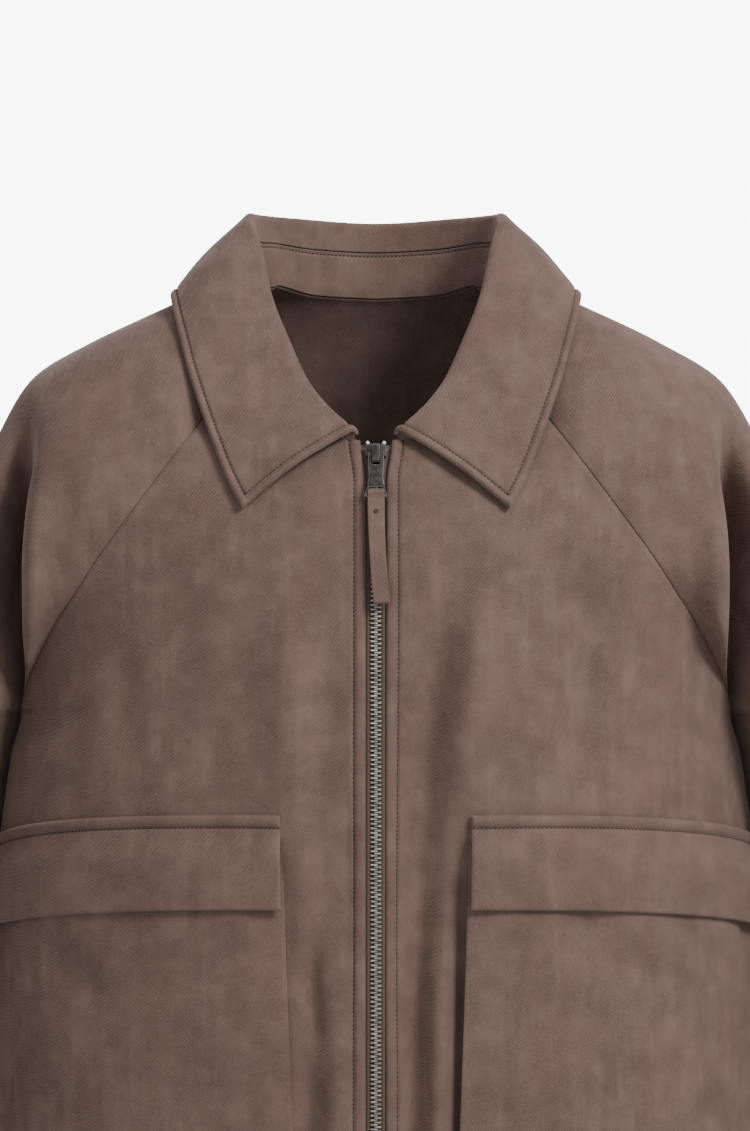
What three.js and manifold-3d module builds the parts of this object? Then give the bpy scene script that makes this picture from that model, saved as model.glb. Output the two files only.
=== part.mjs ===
import * as THREE from 'three';
import { mergeVertices } from 'three/addons/utils/BufferGeometryUtils.js';
import Module from 'manifold-3d';

// A zipped suede jacket, filled out as when worn and hollow inside, in millimetres.
// X runs to the right as seen from the front, Y to the back and Z up.
// The origin lies inside the neck, just under the shoulder points, where the wearer holds it up.

// Driving dimensions
const SUEDE_WALL = 1.8;
const COLLAR_WALL = 2.6;
const FLAP_WALL = 2.8;
const TAPE_WALL = 0.9;
const SEAM_GAP = 0.3;
const SECTION_POWER = 2.2;
const HEM_FRONT_Z = -640;
const HEM_SIDE_Z = -654;
const ARMPIT_Z = -260;
const MIDDLE_ARMPIT_Z = -254;
const FRONT_EDGE_X = 7;
const NECK_FRONT_Z = -87;
const NECK_HALF_WIDTH = 80;
const FRONT_CORNER_ANGLE = 64;
const BACK_CORNER_ANGLE = 125;
const STAND_SHARE = 0.65;
const FOLD_RADIUS = 4.8;
const FOLD_LEAST_RADIUS = 3.2;
const FOLD_SHARE = 0.3;
const STAND_SEAT = 0.9;
const COLLAR_SEAM = 0.8;
const NECK_CENTRE_Y = -10;
const COLLAR_START = 5;
const COLLAR_FRONT_STEPS = 8;
const COLLAR_SIDE_STEPS = 7;
const COLLAR_BACK_STEPS = 5;
const LEAF_BOW = 4;
const LEAF_INNER_ROWS = 2;
const LEAF_FOLD_ROWS = 5;
const LEAF_OUTER_ROWS = 6;
const STAND_ROWS = 2;

// Cuts along each direction
const ARMHOLE_STEPS = 12;
const BODY_STEPS = 11;
const FRONT_STEPS = 16;
const FRONT_EASE = 1.4;
const BACK_STEPS = 22;
const SLEEVE_AROUND = 28;
const SLEEVE_STEPS = 9;
const SLEEVE_CROWDING = 0.05;
const SEAM_HOLD = 6;
const SEAM_CALM = 0.06;

// Half width and depths of the body at each height
const BODY_LEVELS = [
  { z: -660, halfWidth: 245, front: 139, back: 131 },
  { z: -550, halfWidth: 248, front: 143, back: 129 },
  { z: -450, halfWidth: 249, front: 145, back: 128 },
  { z: -380, halfWidth: 247, front: 145, back: 129 },
  { z: -338, halfWidth: 243.5, front: 143.5, back: 131 },
  { z: -310, halfWidth: 240, front: 142, back: 132 },
  { z: -284, halfWidth: 236, front: 140, back: 133 },
  { z: -260, halfWidth: 230, front: 138, back: 133.5 },
  { z: -241, halfWidth: 230.4, front: 136.5, back: 133.5 },
  { z: -223, halfWidth: 231.5, front: 134.5, back: 133 },
  { z: -200, halfWidth: 236, front: 131, back: 132 },
  { z: -180, halfWidth: 246, front: 127.5, back: 130.5 },
  { z: -160, halfWidth: 257, front: 123, back: 128.5 },
  { z: -135, halfWidth: 264, front: 117, back: 125 },
  { z: -110, halfWidth: 258, front: 109, back: 121 },
  { z: -87, halfWidth: 249, front: 100, back: 116 },
  { z: -66, halfWidth: 239, front: 80, back: 110.5 },
  { z: -44, halfWidth: 224, front: 63, back: 104 },
  { z: -27, halfWidth: 199, front: 52, back: 98 },
  { z: -10, halfWidth: 168, front: 36, back: 90 },
  { z: 5, halfWidth: 133, front: 24, back: 80 },
  { z: 14, halfWidth: 111, front: 16, back: 72 },
  { z: 23, halfWidth: 88, front: 8, back: 50 },
];

// The neckline, by angle from the centre front round to the centre back
const NECKLINE = [
  { angle: 0, z: NECK_FRONT_Z },
  { angle: 20, z: -83 },
  { angle: 40, z: -66 },
  { angle: 64, z: -27 },
  { angle: 90, z: 13 },
  { angle: 105, z: 22 },
  { angle: 125, z: 21 },
  { angle: 150, z: 16 },
  { angle: 180, z: 14 },
];

// Sleeve sections from the neck to the cuff. The front and back points lie on the raglan seams
// and meet under the arm. The top point lies on the shoulder line. The arc is half the angle
// that the section turns through, and the depth is half its greatest size from front to back.
const ARMPIT_ROW = 10;
const SLEEVE_SECTIONS = [
  { frontX: 71.9, frontZ: -27, backX: 65.5, backZ: 21,
    topX: 80, topZ: 27, midY: 2, arc: 72, depth: 47 },
  { frontX: 90, frontZ: -48, backX: 86, backZ: 4,
    topX: 115, topZ: 13, midY: 3, arc: 76, depth: 66 },
  { frontX: 110, frontZ: -73, backX: 108, backZ: -26,
    topX: 150, topZ: -2.5, midY: 4, arc: 80, depth: 84 },
  { frontX: 133.5, frontZ: -104, backX: 134, backZ: -68,
    topX: 187, topZ: -20.5, midY: 4, arc: 86, depth: 95.5 },
  { frontX: 156.5, frontZ: -135, backX: 158, backZ: -114,
    topX: 223, topZ: -43, midY: 4, arc: 93, depth: 100 },
  { frontX: 175.5, frontZ: -161, backX: 178, backZ: -154,
    topX: 246, topZ: -80, midY: 4, arc: 100, depth: 97 },
  { frontX: 190, frontZ: -183, backX: 194, backZ: -186,
    topX: 266, topZ: -125, midY: 4, arc: 111, depth: 91 },
  { frontX: 202, frontZ: -200, backX: 206, backZ: -211,
    topX: 281, topZ: -165, midY: 4, arc: 124, depth: 85.5 },
  { frontX: 215, frontZ: -223, backX: 216.5, backZ: -232,
    topX: 292, topZ: -200, midY: 3, arc: 140, depth: 84.5 },
  { frontX: 224, frontZ: -242.5, backX: 225, backZ: -249,
    topX: 299.5, topZ: -228, midY: 2, arc: 155, depth: 85 },
  { frontX: 230, frontZ: ARMPIT_Z, backX: 230, backZ: ARMPIT_Z,
    topX: 306, topZ: -252, midY: 0, arc: 180, depth: 84 },
  { frontX: 248, frontZ: -300, backX: 248, backZ: -300,
    topX: 318, topZ: -292, midY: -1, arc: 180, depth: 82 },
  { frontX: 263, frontZ: -400, backX: 263, backZ: -400,
    topX: 341, topZ: -390, midY: -4, arc: 180, depth: 75 },
  { frontX: 277, frontZ: -500, backX: 277, backZ: -500,
    topX: 363, topZ: -488, midY: -9, arc: 180, depth: 67 },
  { frontX: 292, frontZ: -600, backX: 292, backZ: -600,
    topX: 383, topZ: -586, midY: -16, arc: 180, depth: 58 },
  { frontX: 304, frontZ: -678, backX: 304, backZ: -678,
    topX: 397, topZ: -666, midY: -22, arc: 180, depth: 51 },
];

// The collar's fold line and the lower edge of its leaf, by angle round the neck
const COLLAR_LINES = [
  { angle: 5, foldX: 12, foldY: -107, foldZ: -80, edgeX: 83.5, edgeY: -116, edgeZ: -129 },
  { angle: 20, foldX: 22, foldY: -99, foldZ: -71, edgeX: 92.5, edgeY: -109, edgeZ: -112 },
  { angle: 40, foldX: 40, foldY: -77, foldZ: -50, edgeX: 103, edgeY: -98, edgeZ: -86 },
  { angle: 64, foldX: 59.5, foldY: -48, foldZ: -9, edgeX: 118.5, edgeY: -74, edgeZ: -43 },
  { angle: 73, foldX: 67.5, foldY: -36, foldZ: 12, edgeX: 124.5, edgeY: -60, edgeZ: -22 },
  { angle: 81, foldX: 73, foldY: -22, foldZ: 35, edgeX: 129.5, edgeY: -43, edgeZ: -4 },
  { angle: 90, foldX: 77.5, foldY: -7, foldZ: 51, edgeX: 133, edgeY: -18, edgeZ: 9.5 },
  { angle: 100, foldX: 81, foldY: 6, foldZ: 61, edgeX: 133, edgeY: 10, edgeZ: 12 },
  { angle: 115, foldX: 80, foldY: 27, foldZ: 67.5, edgeX: 121, edgeY: 46, edgeZ: 6 },
  { angle: 140, foldX: 56, foldY: 58, foldZ: 67, edgeX: 82, edgeY: 84, edgeZ: -2 },
  { angle: 180, foldX: 0, foldY: 78, foldZ: 65, edgeX: 0, edgeY: 98, edgeZ: -5 },
];

// Soft troughs and ridges in the fronts and the back. A negative depth stands proud.
// Each one grows over the first share of its length, and fades over the last unless it meets the hem.
const FOLD_GROWN = 0.3;
const FOLD_FADING = 0.75;
const BODY_FOLDS = [
  { face: 'front', topX: 26, bottomX: 35, topZ: -270, bottomZ: -640, halfWidth: 9, depth: 9 },
  { face: 'front', topX: 38, bottomX: 45, topZ: -300, bottomZ: -640, halfWidth: 7, depth: -3 },
  { face: 'front', topX: -36, bottomX: -33, topZ: -380, bottomZ: -640, halfWidth: 6, depth: 6 },
  { face: 'front', topX: -45, bottomX: -44, topZ: -370, bottomZ: -600, halfWidth: 6, depth: -2 },
  { face: 'front', topX: 130, bottomX: 122, topZ: -150, bottomZ: -310, halfWidth: 16, depth: 4 },
  { face: 'front', topX: -118, bottomX: -128, topZ: -160, bottomZ: -300, halfWidth: 18, depth: 3 },
  { face: 'back', topX: -120, bottomX: -150, topZ: -190, bottomZ: -560, halfWidth: 22, depth: 7 },
  { face: 'back', topX: 128, bottomX: 152, topZ: -200, bottomZ: -590, halfWidth: 20, depth: 6 },
  { face: 'back', topX: -30, bottomX: -46, topZ: -260, bottomZ: -640, halfWidth: 17, depth: 5 },
  { face: 'back', topX: 44, bottomX: 62, topZ: -320, bottomZ: -640, halfWidth: 15, depth: 5 },
];

// The fold that hangs from each shoulder down the front of the sleeve
const SLEEVE_FOLD = {
  topZ: -48, deepZ: -165, fadeZ: -300, bottomZ: -420,
  ridgeTopX: 209, ridgeX: 216, ridgeHalfWidth: 15, ridgeRise: 5,
  troughTopX: 229, troughX: 241, troughHalfWidth: 17, troughDepth: 13,
  leanZ: -250, ridgeLean: 0.12, troughLean: 0.19,
  frontFrom: 5, frontTo: 30,
};

// Flaps and patch pockets, as places on the front: x, and z where they start and end.
// Their upper edges droop towards the sides.
const FLAP = {
  innerX: 58.5, innerLowX: 57.5, outerX: 241, outerLowX: 241, topZ: -318, bottomZ: -376, droop: 20,
  seat: 0.5, stand: 5.6, bendFrom: 0.05, bendTo: 0.45,
};
const POCKET = {
  innerX: 57, innerLowX: 50, outerX: 230, outerLowX: 226, topZ: -336, bottomZ: -540, droop: 16,
};
const POCKET_SEAT = 1.2;
const POCKET_CROWN = 2;
const FLAP_COLUMNS = 12;
const FLAP_ROWS = 5;
const POCKET_COLUMNS = 10;
const POCKET_ROWS = 8;

// Zip: x and z lie along the slope of the front, y stands out of it
const CHAIN = { halfWidth: 4, proud: 0.4, wall: 2.6, topZ: -94, bottomZ: -633 };
const TAPE = { innerX: 1, outerX: 14, topZ: -88.5, bottomZ: -636, sink: 2.5 };
const ZIP_ROWS = 26;
const SLIDER = { z: -97.5, halfLength: 9.5, point: 1, neckHalfWidth: 4.6, plateBack: -0.8, plateFront: -2.8 };
const SHOULDER = { x: 3.7, z: 5.4, radius: 3.5 };
const FLANGE = [
  { x: 4.6, z: 0 },
  { x: 6.2, z: 1 },
  { x: 6.2, z: 6 },
  { x: 4.6, z: 6 },
];
const BRIDGE = {
  halfWidth: 2.15, halfLength: 6.3, root: -2.6, under: -6.3, over: -7.7, foot: 1.3, corner: 1.2,
};
const STOP = { x: 5.1, z: 10.5, halfWidth: 0.9, halfHeight: 1.1, front: -0.6, back: 1.9, lean: 30 };
const HINGE = { y: -5.1, z: 1.2 };

// The metal pull: half of its outline, its slot and its window, from the hinge down
const PULL_HALF_WALL = 0.8;
const PULL_OUTLINE = [
  { x: 4.8, z: 0.8 },
  { x: 4.8, z: -7.9 },
  { x: 4.3, z: -14.5 },
  { x: 4.9, z: -20.5 },
  { x: 7, z: -29.1 },
  { x: 5.7, z: -29.1 },
  { x: 5.7, z: -27.3 },
];
const PULL_SLOT = [
  { x: 2.9, z: -0.8 },
  { x: 2.9, z: -7.9 },
];
const PULL_WINDOW = [
  { x: 3.6, z: -22.6 },
  { x: 5.6, z: -23.7 },
  { x: 5.6, z: -25.7 },
];
const PULL_BAR_Z = -26.5;
const STRIP = {
  halfWidth: 5.25, length: 73, halfWall: 1.3, loopRadius: 2.65, holeRadius: 1.45, sway: 3.6, settle: 8.5,
};
const STRIP_STEPS = 16;
const LOOP_START = -30;
const LOOP_TURN = 240;
const LOOP_STEPS = 10;

const RIGHT = 1;
const LEFT = -1;
const rad = THREE.MathUtils.degToRad;

// A smooth curve through a column of a table, without overshoot, read at any key
function throughTable(table, key, column) {
  const keys = table.map((row) => row[key]);
  const values = table.map((row) => row[column]);
  const slopes = keys.slice(1).map((k, i) => (values[i + 1] - values[i]) / (k - keys[i]));
  const tangents = values.map((_, i) => {
    if (i === 0) return slopes[0];
    if (i === slopes.length) return slopes[i - 1];
    const before = slopes[i - 1];
    const after = slopes[i];
    return before * after <= 0 ? 0 : (2 * before * after) / (before + after);
  });
  return (at) => {
    const clamped = THREE.MathUtils.clamp(at, keys[0], keys[keys.length - 1]);
    let i = 0;
    while (i < keys.length - 2 && clamped > keys[i + 1]) i += 1;
    const step = keys[i + 1] - keys[i];
    const t = (clamped - keys[i]) / step;
    const a = (1 + 2 * t) * (1 - t) ** 2 * values[i];
    const b = t * (1 - t) ** 2 * step * tangents[i];
    const c = t * t * (3 - 2 * t) * values[i + 1];
    const d = t * t * (t - 1) * step * tangents[i + 1];
    return a + b + c + d;
  };
}

const bodyHalfWidth = throughTable(BODY_LEVELS, 'z', 'halfWidth');
const bodyFront = throughTable(BODY_LEVELS, 'z', 'front');
const bodyBack = throughTable(BODY_LEVELS, 'z', 'back');
const necklineZ = throughTable(NECKLINE, 'angle', 'z');

const numberedSections = SLEEVE_SECTIONS.map((row, index) => ({ ...row, index }));
const sectionColumn = (column) => throughTable(numberedSections, 'index', column);
const section = {
  frontX: sectionColumn('frontX'),
  frontZ: sectionColumn('frontZ'),
  backX: sectionColumn('backX'),
  backZ: sectionColumn('backZ'),
  topX: sectionColumn('topX'),
  topZ: sectionColumn('topZ'),
  midY: sectionColumn('midY'),
  arc: sectionColumn('arc'),
  depth: sectionColumn('depth'),
};

const mix = THREE.MathUtils.lerp;
const smooth = THREE.MathUtils.smoothstep;
const bell = (distance, halfWidth) => Math.exp(-((distance / halfWidth) ** 2));

// How far a body panel sinks, or stands out, at a place on its face
function foldDepth(face, x, z) {
  let depth = 0;
  for (const fold of BODY_FOLDS) {
    if (fold.face !== face) continue;
    const along = (z - fold.topZ) / (fold.bottomZ - fold.topZ);
    const centre = mix(fold.topX, fold.bottomX, THREE.MathUtils.clamp(along, 0, 1));
    const start = smooth(along, 0, FOLD_GROWN);
    const end = fold.bottomZ <= HEM_FRONT_Z ? 1 : 1 - smooth(along, FOLD_FADING, 1);
    depth += fold.depth * start * end * bell(x - centre, fold.halfWidth);
  }
  return depth;
}

// A point of the front or back, by its distance x from the centre and its height
function bodyPoint(face, x, z) {
  const share = Math.min(Math.abs(x) / bodyHalfWidth(z), 1);
  const reach = (1 - share ** SECTION_POWER) ** (1 / SECTION_POWER);
  const depth = foldDepth(face, x, z) * reach;
  const y = face === 'front' ? -bodyFront(z) * reach + depth : bodyBack(z) * reach - depth;
  return new THREE.Vector3(x, y, z);
}

// The angle round the body's section at which a point lies x from the centre
function turnAt(x, z) {
  const share = Math.min(Math.abs(x) / bodyHalfWidth(z), 1);
  return Math.asin(share ** (SECTION_POWER / 2));
}

function xAtTurn(turn, z) {
  return bodyHalfWidth(z) * Math.sin(turn) ** (2 / SECTION_POWER);
}

// The ends of a row of a front or back panel, from the neck (0) down to the hem (1)
function panelRow(face, row) {
  const front = face === 'front';
  const topAngle = front ? FRONT_CORNER_ANGLE : BACK_CORNER_ANGLE;
  const middleTopZ = front ? NECK_FRONT_Z : necklineZ(180);
  if (row <= ARMHOLE_STEPS) {
    const station = (row / ARMHOLE_STEPS) * ARMPIT_ROW;
    const x = front ? section.frontX(station) : section.backX(station);
    const z = front ? section.frontZ(station) : section.backZ(station);
    const down = row / ARMHOLE_STEPS;
    return { outerX: x, outerZ: z, middleZ: mix(middleTopZ, MIDDLE_ARMPIT_Z, down), down, topAngle };
  }
  const share = (row - ARMHOLE_STEPS) / BODY_STEPS;
  const z = mix(ARMPIT_Z, HEM_SIDE_Z, share);
  const middleZ = mix(MIDDLE_ARMPIT_Z, HEM_FRONT_Z, share);
  return { outerX: bodyHalfWidth(z), outerZ: z, middleZ, down: 1, topAngle };
}

// A front or back panel's points, row by row from the neckline to the hem
function panelGrid(face, side, columns, middleX) {
  const grid = [];
  for (let row = 0; row <= ARMHOLE_STEPS + BODY_STEPS; row += 1) {
    const ends = panelRow(face, row);
    const neckShare = (1 - ends.down) ** 2;
    const line = [];
    for (let column = 0; column <= columns; column += 1) {
      const share = column / columns;
      const neck = necklinePlace(face, share, middleX);
      const offset = neck.sub(levelPlace(panelRow(face, 0), share, middleX));
      const place = levelPlace(ends, share, middleX).add(offset.multiplyScalar(neckShare));
      line.push(bodyPoint(face, side * place.x, place.y));
    }
    grid.push(line);
  }
  return grid;
}

// The place of a point along a plain row, as x and z
function levelPlace(ends, share, middleX) {
  const z = mix(ends.middleZ, ends.outerZ, share * share);
  const ease = middleX > 0 ? FRONT_EASE : 1;
  const turn = mix(turnAt(middleX, ends.middleZ), turnAt(ends.outerX, ends.outerZ), share ** ease);
  return new THREE.Vector2(xAtTurn(turn, z), z);
}

// The neckline's place on a panel, as x and z
function necklinePlace(face, share, middleX) {
  const front = face === 'front';
  const middle = front ? Math.asin(middleX / NECK_HALF_WIDTH) : Math.PI;
  const corner = rad(front ? FRONT_CORNER_ANGLE : BACK_CORNER_ANGLE);
  const angle = mix(middle, corner, share);
  return new THREE.Vector2(NECK_HALF_WIDTH * Math.sin(angle), necklineZ(THREE.MathUtils.radToDeg(angle)));
}

// How far the fold below the shoulder moves a point of the sleeve back or forward
function sleeveFoldShift(x, y, z, awayFromSeam) {
  const fold = SLEEVE_FOLD;
  const along = smooth(-z, -fold.topZ, -fold.deepZ);
  const fade = 1 - smooth(-z, -fold.fadeZ, -fold.bottomZ);
  const below = Math.max(0, fold.leanZ - z);
  const ridgeX = mix(fold.ridgeTopX, fold.ridgeX, along) + below * fold.ridgeLean;
  const troughX = mix(fold.troughTopX, fold.troughX, along) + below * fold.troughLean;
  const front = smooth(-y, fold.frontFrom, fold.frontTo) * along * fade * awayFromSeam;
  const rise = fold.ridgeRise * bell(Math.abs(x) - ridgeX, fold.ridgeHalfWidth);
  const sink = fold.troughDepth * bell(Math.abs(x) - troughX, fold.troughHalfWidth);
  return front * (sink - rise);
}

// A point of the sleeve: station runs from the neck to the cuff, around from front to back
function sleevePoint(side, station, around) {
  const frontSeam = bodyPoint('front', side * section.frontX(station), section.frontZ(station));
  const backSeam = bodyPoint('back', side * section.backX(station), section.backZ(station));
  const closed = station >= ARMPIT_ROW;
  if (closed) {
    frontSeam.y = section.midY(station);
    backSeam.y = section.midY(station);
  }
  const middle = frontSeam.clone().lerp(backSeam, 0.5);
  const top = new THREE.Vector3(side * section.topX(station), section.midY(station), section.topZ(station));
  const arc = rad(section.arc(station));
  const turn = (2 * around - 1) * arc;
  const lift = (turnValue) => (Math.cos(turnValue) - Math.cos(arc)) / (1 - Math.cos(arc));
  const depth = section.depth(station);
  const point = middle.clone().lerp(top, lift(turn));
  point.y = mix(middle.y, top.y, lift(turn)) + depth * Math.sin(turn);
  const frontMiss = frontSeam.y - (middle.y - depth * Math.sin(arc));
  const backMiss = backSeam.y - (middle.y + depth * Math.sin(arc));
  const frontHold = (1 - around) ** SEAM_HOLD;
  const backHold = around ** SEAM_HOLD;
  point.y += frontMiss * frontHold + backMiss * backHold;
  const seamX = mix(frontSeam.x, backSeam.x, around) - middle.x;
  const seamZ = mix(frontSeam.z, backSeam.z, around) - middle.z;
  point.x += seamX * (1 - lift(turn));
  point.z += seamZ * (1 - lift(turn));
  const awayFromSeam = closed ? 1 : smooth(around, 0, SEAM_CALM);
  point.y += sleeveFoldShift(point.x, point.y, point.z, awayFromSeam);
  return point;
}

// Columns lie closer together where the fold below the shoulder bends the cloth
function sleeveShare(column) {
  const share = column / SLEEVE_AROUND;
  return share - SLEEVE_CROWDING * Math.sin(2 * Math.PI * share);
}

function sleeveGrid(side) {
  const grid = [];
  const last = SLEEVE_SECTIONS.length - 1;
  for (let row = 0; row <= ARMHOLE_STEPS + SLEEVE_STEPS; row += 1) {
    const above = row <= ARMHOLE_STEPS;
    const below = (row - ARMHOLE_STEPS) / SLEEVE_STEPS;
    const station = above ? (row / ARMHOLE_STEPS) * ARMPIT_ROW : mix(ARMPIT_ROW, last, below);
    const line = [];
    for (let column = 0; column <= SLEEVE_AROUND; column += 1) {
      line.push(sleevePoint(side, station, sleeveShare(column)));
    }
    grid.push(line);
  }
  return grid;
}

// A piece of cloth: its outer points, and the way out at each of them
function cloth(grid, wall, closedFrom = grid.length) {
  const rows = grid.length;
  const columns = grid[0].length;
  const normals = grid.map((line, r) => line.map((_, c) => {
    const wrap = r >= closedFrom;
    const before = wrap && c === 0 ? line[columns - 2] : line[Math.max(c - 1, 0)];
    const after = wrap && c === columns - 1 ? line[1] : line[Math.min(c + 1, columns - 1)];
    const above = grid[Math.max(r - 1, 0)][c];
    const below = grid[Math.min(r + 1, rows - 1)][c];
    const across = after.clone().sub(before);
    const down = below.clone().sub(above);
    return across.cross(down).normalize();
  }));
  return { grid, normals, wall, closedFrom };
}

function turnOver(piece) {
  piece.normals.forEach((line) => line.forEach((normal) => normal.negate()));
  return piece;
}

// Makes a piece's normals point away from a line inside the jacket
function faceOut(piece) {
  const r = Math.floor(piece.grid.length / 2);
  const c = Math.floor(piece.grid[0].length / 2);
  const outward = piece.grid[r][c].clone().sub(piece.inside);
  return outward.dot(piece.normals[r][c]) < 0 ? turnOver(piece) : piece;
}

// Two edges that are sewn together share the way out, so that their walls stay apart
function sew(normalsA, normalsB) {
  normalsA.forEach((normal, i) => {
    const shared = normal.clone().add(normalsB[i]).normalize();
    normal.copy(shared);
    normalsB[i].copy(shared);
  });
}

const columnOf = (lines, column) => lines.map((line) => line[column < 0 ? line.length + column : column]);

// The closed mesh of a piece of cloth: outer points, inner points and the edges between them
function clothGeometry(piece, trims = {}) {
  const { grid, normals, wall, closedFrom } = piece;
  const rows = grid.length;
  const columns = grid[0].length;
  const outer = grid.map((line) => line.map((point) => point.clone()));
  const inwards = (point, normal) => point.clone().addScaledVector(normal, -wall);
  const inner = grid.map((line, r) => line.map((point, c) => inwards(point, normals[r][c])));
  const pull = (r, c, toR, toC, amount) => {
    for (const layer of [outer, inner]) {
      const way = layer[toR][toC].clone().sub(layer[r][c]).normalize();
      layer[r][c].addScaledVector(way, amount);
    }
  };
  const lastOpen = Math.min(closedFrom, rows);
  for (let r = 0; r < lastOpen; r += 1) {
    if (trims.first) pull(r, 0, r, 1, trims.first);
    if (trims.last) pull(r, columns - 1, r, columns - 2, trims.last);
  }
  for (let c = 0; c < columns; c += 1) {
    if (trims.top) pull(0, c, 1, c, trims.top);
    if (trims.bottom) pull(rows - 1, c, rows - 2, c, trims.bottom);
  }
  if (trims.armpit) {
    for (const layer of [outer, inner]) {
      layer[closedFrom][0].add(trims.armpit);
      layer[closedFrom][columns - 1].copy(layer[closedFrom][0]);
    }
  }
  const positions = [];
  const number = (layer) => layer.map((line, r) => line.map((point, c) => {
    if (r >= closedFrom && c === columns - 1) return -1;
    positions.push(point.x, point.y, point.z);
    return positions.length / 3 - 1;
  }));
  const close = (ids) => ids.map((line) => line.map((id) => (id < 0 ? line[0] : id)));
  const outerIds = close(number(outer));
  const innerIds = close(number(inner));
  const faces = [];
  const quad = (a, b, c, d) => faces.push(a, b, c, a, c, d);
  for (let r = 0; r < rows - 1; r += 1) {
    for (let c = 0; c < columns - 1; c += 1) {
      quad(outerIds[r][c], outerIds[r][c + 1], outerIds[r + 1][c + 1], outerIds[r + 1][c]);
      quad(innerIds[r][c], innerIds[r + 1][c], innerIds[r + 1][c + 1], innerIds[r][c + 1]);
    }
    if (r < closedFrom) {
      const l = columns - 1;
      quad(outerIds[r][0], outerIds[r + 1][0], innerIds[r + 1][0], innerIds[r][0]);
      quad(outerIds[r][l], innerIds[r][l], innerIds[r + 1][l], outerIds[r + 1][l]);
    }
  }
  for (let c = 0; c < columns - 1; c += 1) {
    const l = rows - 1;
    quad(outerIds[0][c], innerIds[0][c], innerIds[0][c + 1], outerIds[0][c + 1]);
    quad(outerIds[l][c], outerIds[l][c + 1], innerIds[l][c + 1], innerIds[l][c]);
  }
  const geometry = new THREE.BufferGeometry();
  geometry.setAttribute('position', new THREE.Float32BufferAttribute(positions, 3));
  geometry.setIndex(faces);
  return pointOut(geometry);
}

// Turns every face round when the closed mesh is inside out
function pointOut(geometry) {
  const position = geometry.getAttribute('position');
  const index = geometry.getIndex();
  const a = new THREE.Vector3();
  const b = new THREE.Vector3();
  const c = new THREE.Vector3();
  let volume = 0;
  for (let i = 0; i < index.count; i += 3) {
    a.fromBufferAttribute(position, index.getX(i));
    b.fromBufferAttribute(position, index.getX(i + 1));
    c.fromBufferAttribute(position, index.getX(i + 2));
    volume += a.dot(b.cross(c));
  }
  if (volume < 0) {
    for (let i = 0; i < index.count; i += 3) {
      const second = index.getX(i + 1);
      index.setX(i + 1, index.getX(i + 2));
      index.setX(i + 2, second);
    }
  }
  return geometry;
}

// Materials
const suede = () => new THREE.MeshStandardMaterial({ color: '#76615a', roughness: 0.95, metalness: 0 });
const tapeCloth = () => new THREE.MeshStandardMaterial({ color: '#3d2f2a', roughness: 0.9, metalness: 0 });
const nickel = () => new THREE.MeshStandardMaterial({ color: '#b9b6b0', roughness: 0.3, metalness: 1 });
const gunmetal = () => new THREE.MeshStandardMaterial({ color: '#5b5c58', roughness: 0.35, metalness: 1 });

const jacket = new THREE.Group();

function addMesh(name, geometry, material, parent = jacket) {
  const mesh = new THREE.Mesh(geometry, material);
  mesh.name = name;
  parent.add(mesh);
  return mesh;
}

const sideName = (side) => (side === LEFT ? 'left' : 'right');
const bodyAxis = new THREE.Vector3(0, 0, -250);
const sleeveAxis = (side) => new THREE.Vector3(side * 245, 0, -240);

function insidePiece(grid, wall, inside, closedFrom) {
  const piece = cloth(grid, wall, closedFrom);
  piece.inside = inside;
  return faceOut(piece);
}

// Fronts, back and sleeves, sewn along the raglan and side seams
const fronts = {};
const sleeves = {};
for (const side of [LEFT, RIGHT]) {
  fronts[side] = insidePiece(panelGrid('front', side, FRONT_STEPS, FRONT_EDGE_X), SUEDE_WALL, bodyAxis);
  sleeves[side] = insidePiece(sleeveGrid(side), SUEDE_WALL, sleeveAxis(side), ARMHOLE_STEPS);
}
const backHalves = [LEFT, RIGHT].map((side) => panelGrid('back', side, BACK_STEPS / 2, 0));
const backGrid = backHalves[0].map((line, r) => [...line.slice().reverse(), ...backHalves[1][r].slice(1)]);
const back = insidePiece(backGrid, SUEDE_WALL, bodyAxis);

for (const side of [LEFT, RIGHT]) {
  const backColumn = side === LEFT ? 0 : -1;
  const backEdge = columnOf(back.normals, backColumn);
  const frontEdge = columnOf(fronts[side].normals, -1);
  const sleeve = sleeves[side];
  const sleeveFrontEdge = columnOf(sleeve.normals, 0).slice(0, ARMHOLE_STEPS);
  const sleeveBackEdge = columnOf(sleeve.normals, -1).slice(0, ARMHOLE_STEPS);
  sew(frontEdge.slice(0, ARMHOLE_STEPS), sleeveFrontEdge);
  sew(backEdge.slice(0, ARMHOLE_STEPS), sleeveBackEdge);
  sew(frontEdge.slice(ARMHOLE_STEPS), backEdge.slice(ARMHOLE_STEPS));
  const armpit = new THREE.Vector3(side * 0.5, 0, -0.2);
  const half = SEAM_GAP / 2;
  addMesh(`front_${sideName(side)}`, clothGeometry(fronts[side], { last: half }), suede());
  addMesh(`sleeve_${sideName(side)}`, clothGeometry(sleeve, { first: half, last: half, armpit }), suede());
}
addMesh('back', clothGeometry(back, { first: SEAM_GAP / 2, last: SEAM_GAP / 2 }), suede());

// A piece that lies on a front: its own points on the front, moved out by its stand
function laidPiece(side, places, standAt, wall) {
  const grid = places.map((line) => line.map((place) => bodyPoint('front', side * place.x, place.y)));
  const under = insidePiece(grid, wall, bodyAxis);
  const raised = grid.map((line, r) => line.map((point, c) => {
    const down = r / (grid.length - 1);
    const across = c / (line.length - 1);
    return point.clone().addScaledVector(under.normals[r][c], wall + standAt(across, down));
  }));
  return insidePiece(raised, wall, bodyAxis);
}

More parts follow.
